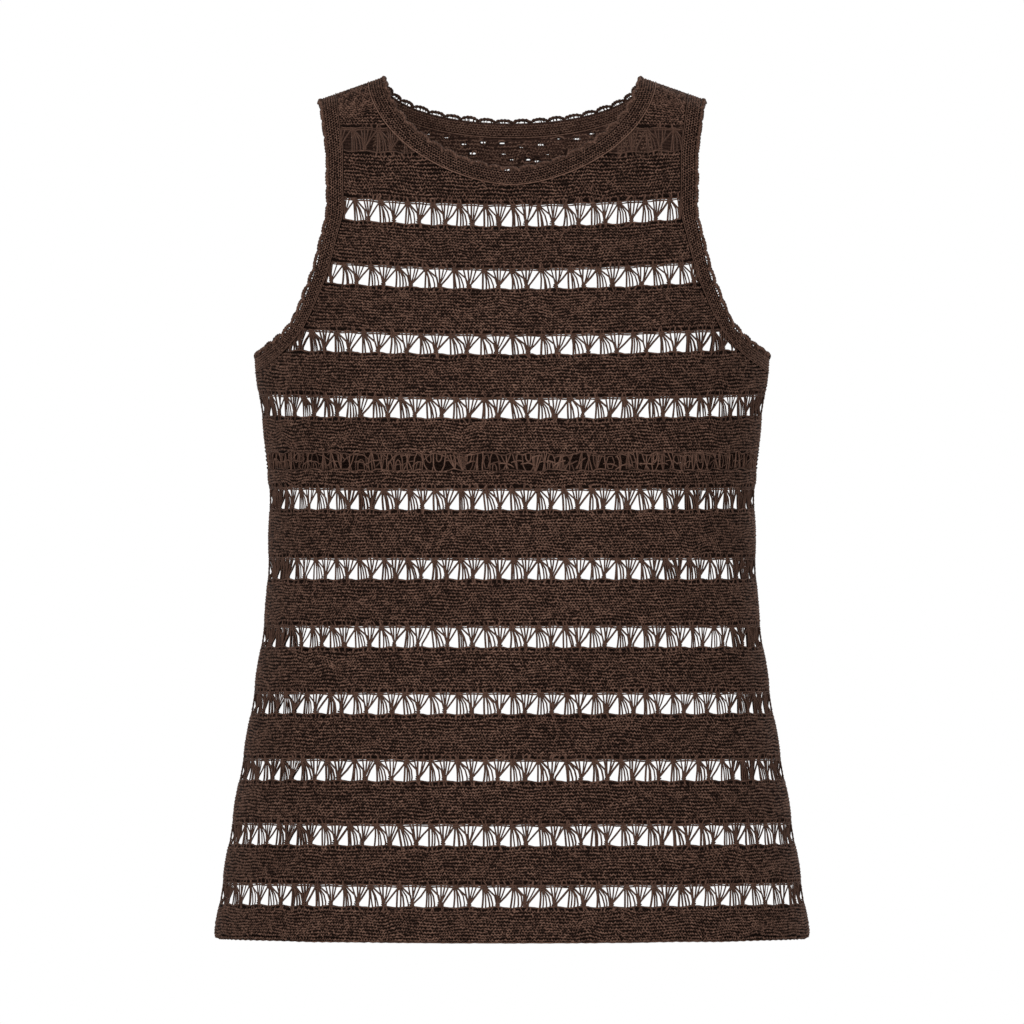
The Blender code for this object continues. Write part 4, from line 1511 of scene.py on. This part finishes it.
def seam_line(heap, cloth, reach, level, lift, radius):
    """A sewn seam along a line of the cloth."""
    reach, level = cloth.evenly(reach, level, SEAM_STEP)
    place, normal = cloth.at(reach, level, lift)
    knobs = 1 + 0.14 * np.cos(np.arange(len(reach)) * math.pi)
    heap.tubes(place[None], normal[None], radius * knobs, 5)


def side_strand(heap, front, row, mirror):
    """The strand that slants from the side seam to the lace drawn in beside it."""
    upper, lower = row_edges(row)
    share = np.linspace(0, 1, 6)
    level = upper.level + (lower.level - upper.level) * share
    lift = -0.2 * MM - (SIDE_SINK - 0.3 * MM) * np.clip((share - 0.2) / 0.6, 0, 1)
    place, normal = front.at(mirror * front.full_reach(level), level, lift)
    heap.tubes(place[None], normal[None], SIDE_STRAND_RADIUS, 4)


def body_seams(front, material):
    """The side seams and the shoulder seams."""
    heap = Heap()
    for mirror in (-1, 1):
        level = np.linspace(front.armhole_bottom, HEM_LEVEL, 200)
        seam_line(heap, front, mirror * front.full_reach(level), level, 0.0, SIDE_SEAM_RADIUS)
        for row in front.rows:
            if row.top > front.armhole_bottom:
                side_strand(heap, front, row, mirror)
        reach = mirror * np.linspace(front.neck_reach(0.0), front.arm_reach(0.0), 20)
        seam_line(heap, front, reach, 0 * reach, SHOULDER_SEAM_LIFT, SHOULDER_SEAM_RADIUS)
    return heap.piece("body_seams", material)


class Value:
    """A number socket of a material, worked with as in a formula."""

    def __init__(self, graph, socket):
        self.graph, self.socket = graph, socket

    def math(self, operation, *others):
        return self.graph.math(operation, self, *others)

    def __add__(self, other):
        return self.math("ADD", other)

    def __radd__(self, other):
        return self.graph.math("ADD", other, self)

    def __sub__(self, other):
        return self.math("SUBTRACT", other)

    def __rsub__(self, other):
        return self.graph.math("SUBTRACT", other, self)

    def __mul__(self, other):
        return self.math("MULTIPLY", other)

    def __rmul__(self, other):
        return self.graph.math("MULTIPLY", other, self)

    def clamped(self):
        return self.graph.math("MULTIPLY", self, 1.0, use_clamp=True)


class Graph:
    """The nodes of one material."""

    def __init__(self, name):
        self.material = bpy.data.materials.new(name)
        self.material.use_nodes = True
        self.tree = self.material.node_tree
        self.shader = self.tree.nodes["Principled BSDF"]

    def node(self, kind, settings=None, **inputs):
        """Adds a node: its settings first, then the values or links of its sockets."""
        node = self.tree.nodes.new(kind)
        for key, value in (settings or {}).items():
            setattr(node, key, value)
        for key, value in inputs.items():
            index = int(key[1:]) if key[0] == "i" and key[1:].isdigit() else key.replace("_", " ")
            self.connect(node.inputs[index], value)
        return node

    def connect(self, socket, value):
        if isinstance(value, Value):
            value = value.socket
        if isinstance(value, bpy.types.NodeSocket):
            self.tree.links.new(value, socket)
        else:
            socket.default_value = value

    def math(self, operation, *values, use_clamp=False):
        settings = {"operation": operation, "use_clamp": use_clamp}
        inputs = {f"i{k}": value for k, value in enumerate(values)}
        return Value(self, self.node("ShaderNodeMath", settings, **inputs).outputs[0])

    def place(self):
        return self.node("ShaderNodeTexCoord").outputs["Object"]

    def noise(self, size, detail=2.0, roughness=0.5):
        """Soft noise whose blotches are about this large."""
        node = self.node(
            "ShaderNodeTexNoise", Vector=self.place(), Scale=1 / size, Detail=detail,
            Roughness=roughness,
        )
        return Value(self, node.outputs["Fac"])

    def attribute(self, name):
        node = self.node("ShaderNodeAttribute", {"attribute_name": name})
        return Value(self, node.outputs["Fac"])

    def colour_mix(self, share, first, second):
        node = self.node("ShaderNodeMix", {"data_type": "RGBA"})
        self.connect(node.inputs["Factor"], share)
        for socket, value in ((node.inputs[6], first), (node.inputs[7], second)):
            self.connect(socket, value if not isinstance(value, tuple) else (*value, 1.0))
        return node.outputs[2]

    def bump(self, height, distance, strength):
        node = self.node("ShaderNodeBump", Height=height, Distance=distance, Strength=strength)
        return node.outputs["Normal"]

    def finish(self, colour, roughness, normal, sheen, shine):
        self.connect(self.shader.inputs["Base Color"], colour)
        self.connect(self.shader.inputs["Roughness"], roughness)
        self.connect(self.shader.inputs["Normal"], normal)
        self.connect(self.shader.inputs["Specular IOR Level"], shine)
        self.connect(self.shader.inputs["Sheen Weight"], sheen)
        self.connect(self.shader.inputs["Sheen Roughness"], 0.45)
        self.connect(self.shader.inputs["Sheen Tint"], SHEEN_TINT)
        return self.material


# The darkest yarn colour is painted shade where the yarn sinks; the lightest is lighter fibre, partly
# real heather and partly painted highlight, as it shows only on raised yarn
YARN_PAINTED_SHADE = (0.0135, 0.0064, 0.0044)
YARN_MIDDLE = (0.078, 0.0380, 0.0260)
YARN_LIGHT = (0.250, 0.148, 0.108)
# Painted shade: the near-black outer face of the ground stands for the shadowed gaps between the
# stitches
GROUND_PAINTED_SHADE = (0.0064, 0.0030, 0.0021)
# The yarn colour on the inside, raised with painted light, as less light reaches the inside
INSIDE_COLOUR = (0.085, 0.045, 0.034)
SHEEN_TINT = (0.60, 0.40, 0.30, 1.0)


def yarn_material(name):
    """Matte spun yarn: dark brown with lighter fibres, which show only where it stands out as painted
    highlight, and painted shade where it sinks into the cloth.
    """
    g = Graph(name)
    crown = g.attribute("crown")
    heather = g.noise(2.2 * MM, 3.0, 0.6)
    fibre = g.noise(0.45 * MM, 3.0, 0.7)
    patch = g.noise(30 * MM, 2.0)
    light = ((heather - 0.5) * 1.3 + (fibre - 0.5) * 0.8 + (patch - 0.5) * 0.4 + 0.36).clamped()
    # Painted highlight: the lighter fibres show only where the yarn stands out
    light = (light * (crown * 1.15 - 0.15).clamped()).clamped()
    # Painted shade: sunk yarn fades to the darkest colour
    colour = g.colour_mix((crown * 1.4).clamped(), YARN_PAINTED_SHADE, YARN_MIDDLE)
    colour = g.colour_mix(light, colour, YARN_LIGHT)
    normal = g.bump(fibre + heather * 0.5, 0.25 * MM, 0.55)
    return g.finish(colour, 0.92 - 0.12 * heather, normal, 0.03, 0.10)


def ground_material(name):
    """The cloth beneath the stitches: painted shade on the outside, near black for the shadowed gaps
    between stitches, and knitted courses on the inside, painted darker between the courses.
    """
    g = Graph(name)
    inside_face = g.attribute("crown")
    place = g.place()
    sway = g.noise(9 * MM, 2.0)
    height = Value(g, g.node("ShaderNodeSeparateXYZ", Vector=place).outputs[2])
    course = (height + sway * (3.0 * MM)) * (2 * math.pi / YOKE_PITCH)
    course = course.math("SINE") * 0.5 + 0.5
    grain = g.noise(1.1 * MM, 2.0, 0.6)
    # Painted shade: darker between the courses on the inside, and the outer face stays near black
    light = (inside_face * 2.4).clamped() * (course * 0.6 + 0.4) * (grain * 1.3)
    colour = g.colour_mix(light.clamped(), GROUND_PAINTED_SHADE, INSIDE_COLOUR)
    normal = g.bump(course * 0.7 + grain, 0.8 * MM, 0.7)
    return g.finish(colour, 0.94 - 0.05 * grain, normal, 0.0, 0.04)


def floor_material():
    g = Graph("pale_floor")
    shade = g.noise(0.8, 2.0)
    colour = g.colour_mix(shade, (0.78, 0.78, 0.77), (0.82, 0.82, 0.81))
    g.connect(g.shader.inputs["Base Color"], colour)
    g.connect(g.shader.inputs["Roughness"], 0.6)
    return g.material


FLOOR_HEIGHT = -1.35
FLOOR_RADIUS = 14.0
FLOOR_SIDES = 96

# The photo's width in pixels, the size of one of them on the top, and the row where height is 0
PHOTO_SIZE = 1024
PHOTO_SCALE = 0.6566 * MM
SHOULDER_LINE_ROW = 76
SENSOR_WIDTH = 36.0


def make_floor():
    points = [
        (FLOOR_RADIUS * math.cos(a), FLOOR_RADIUS * math.sin(a), FLOOR_HEIGHT)
        for a in np.linspace(0, 2 * math.pi, FLOOR_SIDES + 1)[:-1]
    ]
    mesh = bpy.data.meshes.new("floor")
    mesh.from_pydata(points, [], [tuple(range(len(points)))])
    mesh.materials.append(floor_material())
    floor = bpy.data.objects.new("floor", mesh)
    bpy.context.scene.collection.objects.link(floor)


def make_camera():
    data = bpy.data.cameras.new("camera")
    data.sensor_width = SENSOR_WIDTH
    data.lens = SENSOR_WIDTH * EYE_DISTANCE / (PHOTO_SIZE * PHOTO_SCALE)
    data.clip_start, data.clip_end = 0.1, 60.0
    camera = bpy.data.objects.new("camera", data)
    middle = (SHOULDER_LINE_ROW - PHOTO_SIZE / 2) * PHOTO_SCALE
    camera.location = (0.0, -EYE_DISTANCE, middle)
    camera.rotation_euler = (math.radians(90), 0, 0)
    bpy.context.scene.collection.objects.link(camera)
    bpy.context.scene.camera = camera


class Lamp(NamedTuple):
    """A soft square lamp: its direction from the top in degrees round and up, its way off, its width
    and its power."""

    name: str
    azimuth: float
    elevation: float
    distance: float
    width: float
    power: float


LAMPS = (
    Lamp("key", -28, 20, 3.0, 1.8, 58),
    Lamp("fill", 36, 8, 3.2, 2.2, 38),
    Lamp("back_key", 150, 35, 3.0, 1.8, 48),
    Lamp("back_fill", 215, 15, 3.2, 2.2, 22),
)
LIT_POINT = (0, 0, -0.28)
WORLD_LIGHT = 0.42


def make_lights():
    middle = Vector(LIT_POINT)
    for lamp in LAMPS:
        data = bpy.data.lights.new(lamp.name, "AREA")
        data.shape, data.size, data.energy = "SQUARE", lamp.width, lamp.power
        a, e = math.radians(lamp.azimuth), math.radians(lamp.elevation)
        way = Vector((math.sin(a) * math.cos(e), -math.cos(a) * math.cos(e), math.sin(e)))
        light = bpy.data.objects.new(lamp.name, data)
        light.location = middle + way * lamp.distance
        light.rotation_euler = way.to_track_quat("Z", "Y").to_euler()
        light.visible_camera = False
        bpy.context.scene.collection.objects.link(light)


def make_world():
    """White behind the part, and softer white light all round."""
    world = bpy.data.worlds.new("studio")
    bpy.context.scene.world = world
    world.use_nodes = True
    nodes, links = world.node_tree.nodes, world.node_tree.links
    background, output = nodes["Background"], nodes["World Output"]
    backdrop = nodes.new("ShaderNodeBackground")
    paths, mix = nodes.new("ShaderNodeLightPath"), nodes.new("ShaderNodeMixShader")
    background.inputs["Color"].default_value = (1, 1, 1, 1)
    background.inputs["Strength"].default_value = WORLD_LIGHT
    backdrop.inputs["Color"].default_value = (1, 1, 1, 1)
    backdrop.inputs["Strength"].default_value = 1.0
    links.new(paths.outputs["Is Camera Ray"], mix.inputs[0])
    links.new(background.outputs[0], mix.inputs[1])
    links.new(backdrop.outputs[0], mix.inputs[2])
    links.new(mix.outputs[0], output.inputs["Surface"])
    bpy.context.scene.view_settings.view_transform = "Standard"


def neck_ring(front, back):
    rings = []
    for cloth in (front, back):
        reach, level = cloth.neck
        whole_reach = np.concatenate([-reach[:-1], reach[::-1]])
        whole_level = np.concatenate([level[:-1], level[::-1]])
        rings.append((cloth, (whole_reach, whole_level)))
    return Opening(*rings)


def armhole_ring(front, back, mirror):
    seams = [(cloth, (mirror * cloth.armhole[0], cloth.armhole[1])) for cloth in (front, back)]
    return Opening(*seams)


# The courses of a panel are two pieces, parted at this level
HALF_LEVEL = 0.30


def dress_panel(cloth, seed, sides, ground, yarn):
    """All the pieces of the front or the back. Sides is the number of sides of its tubes."""
    shell, area = knit_ground(cloth, ground)
    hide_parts(cloth.name)
    courses = Courses(cloth, seed)
    halves = ((0.0, HALF_LEVEL, "upper"), (HALF_LEVEL, HEM_LEVEL, "lower"))
    rest = [
        knit_courses(cloth, courses, first, last, f"{cloth.name}_courses_{half}", yarn)
        for first, last, half in halves
    ]
    rest.append(knit_lace(cloth, sides, yarn))
    rest.append(knit_cords(cloth, sides, yarn))


def dress_opening(name, opening, trim, seed, ground, yarn):
    """The band and the edging of one opening."""
    shell = knit_band(name, opening, ground)
    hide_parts(name)
    stitches = band_stitches(name, opening, trim, seed, yarn)
    edging_name = {"neckband": "neck_edging"}.get(name, name.replace("band", "edging"))
    edging = picot_edging(edging_name + "_loops", opening, trim, seed + 1, yarn)
    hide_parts(edging_name)


# The seed of each part's random draws, and the number of sides of a panel's tubes
FRONT_SEED = 100
BACK_SEED = 200
NECK_SEED = 300
ARMHOLE_SEED = 310
FRONT_SIDES = 4
BACK_SIDES = 3


def main():
    make_camera()
    make_lights()
    make_world()
    make_floor()
    yarn, ground = yarn_material("yarn_stitches"), ground_material("knit_ground")
    front = Cloth("front", FRONT, LACE_ROWS)
    back = Cloth("back", BACK, LACE_ROWS[1:], ahead=front)
    dress_panel(front, FRONT_SEED, FRONT_SIDES, ground, yarn)
    dress_panel(back, BACK_SEED, BACK_SIDES, ground, yarn)
    dress_opening("neckband", neck_ring(front, back), NECK_TRIM, NECK_SEED, ground, yarn)
    for mirror, side in ((1, "left"), (-1, "right")):
        ring = armhole_ring(front, back, mirror)
        name = f"armhole_band_{side}"
        dress_opening(name, ring, ARMHOLE_TRIM, ARMHOLE_SEED + mirror, ground, yarn)
    body_seams(front, yarn)


main()
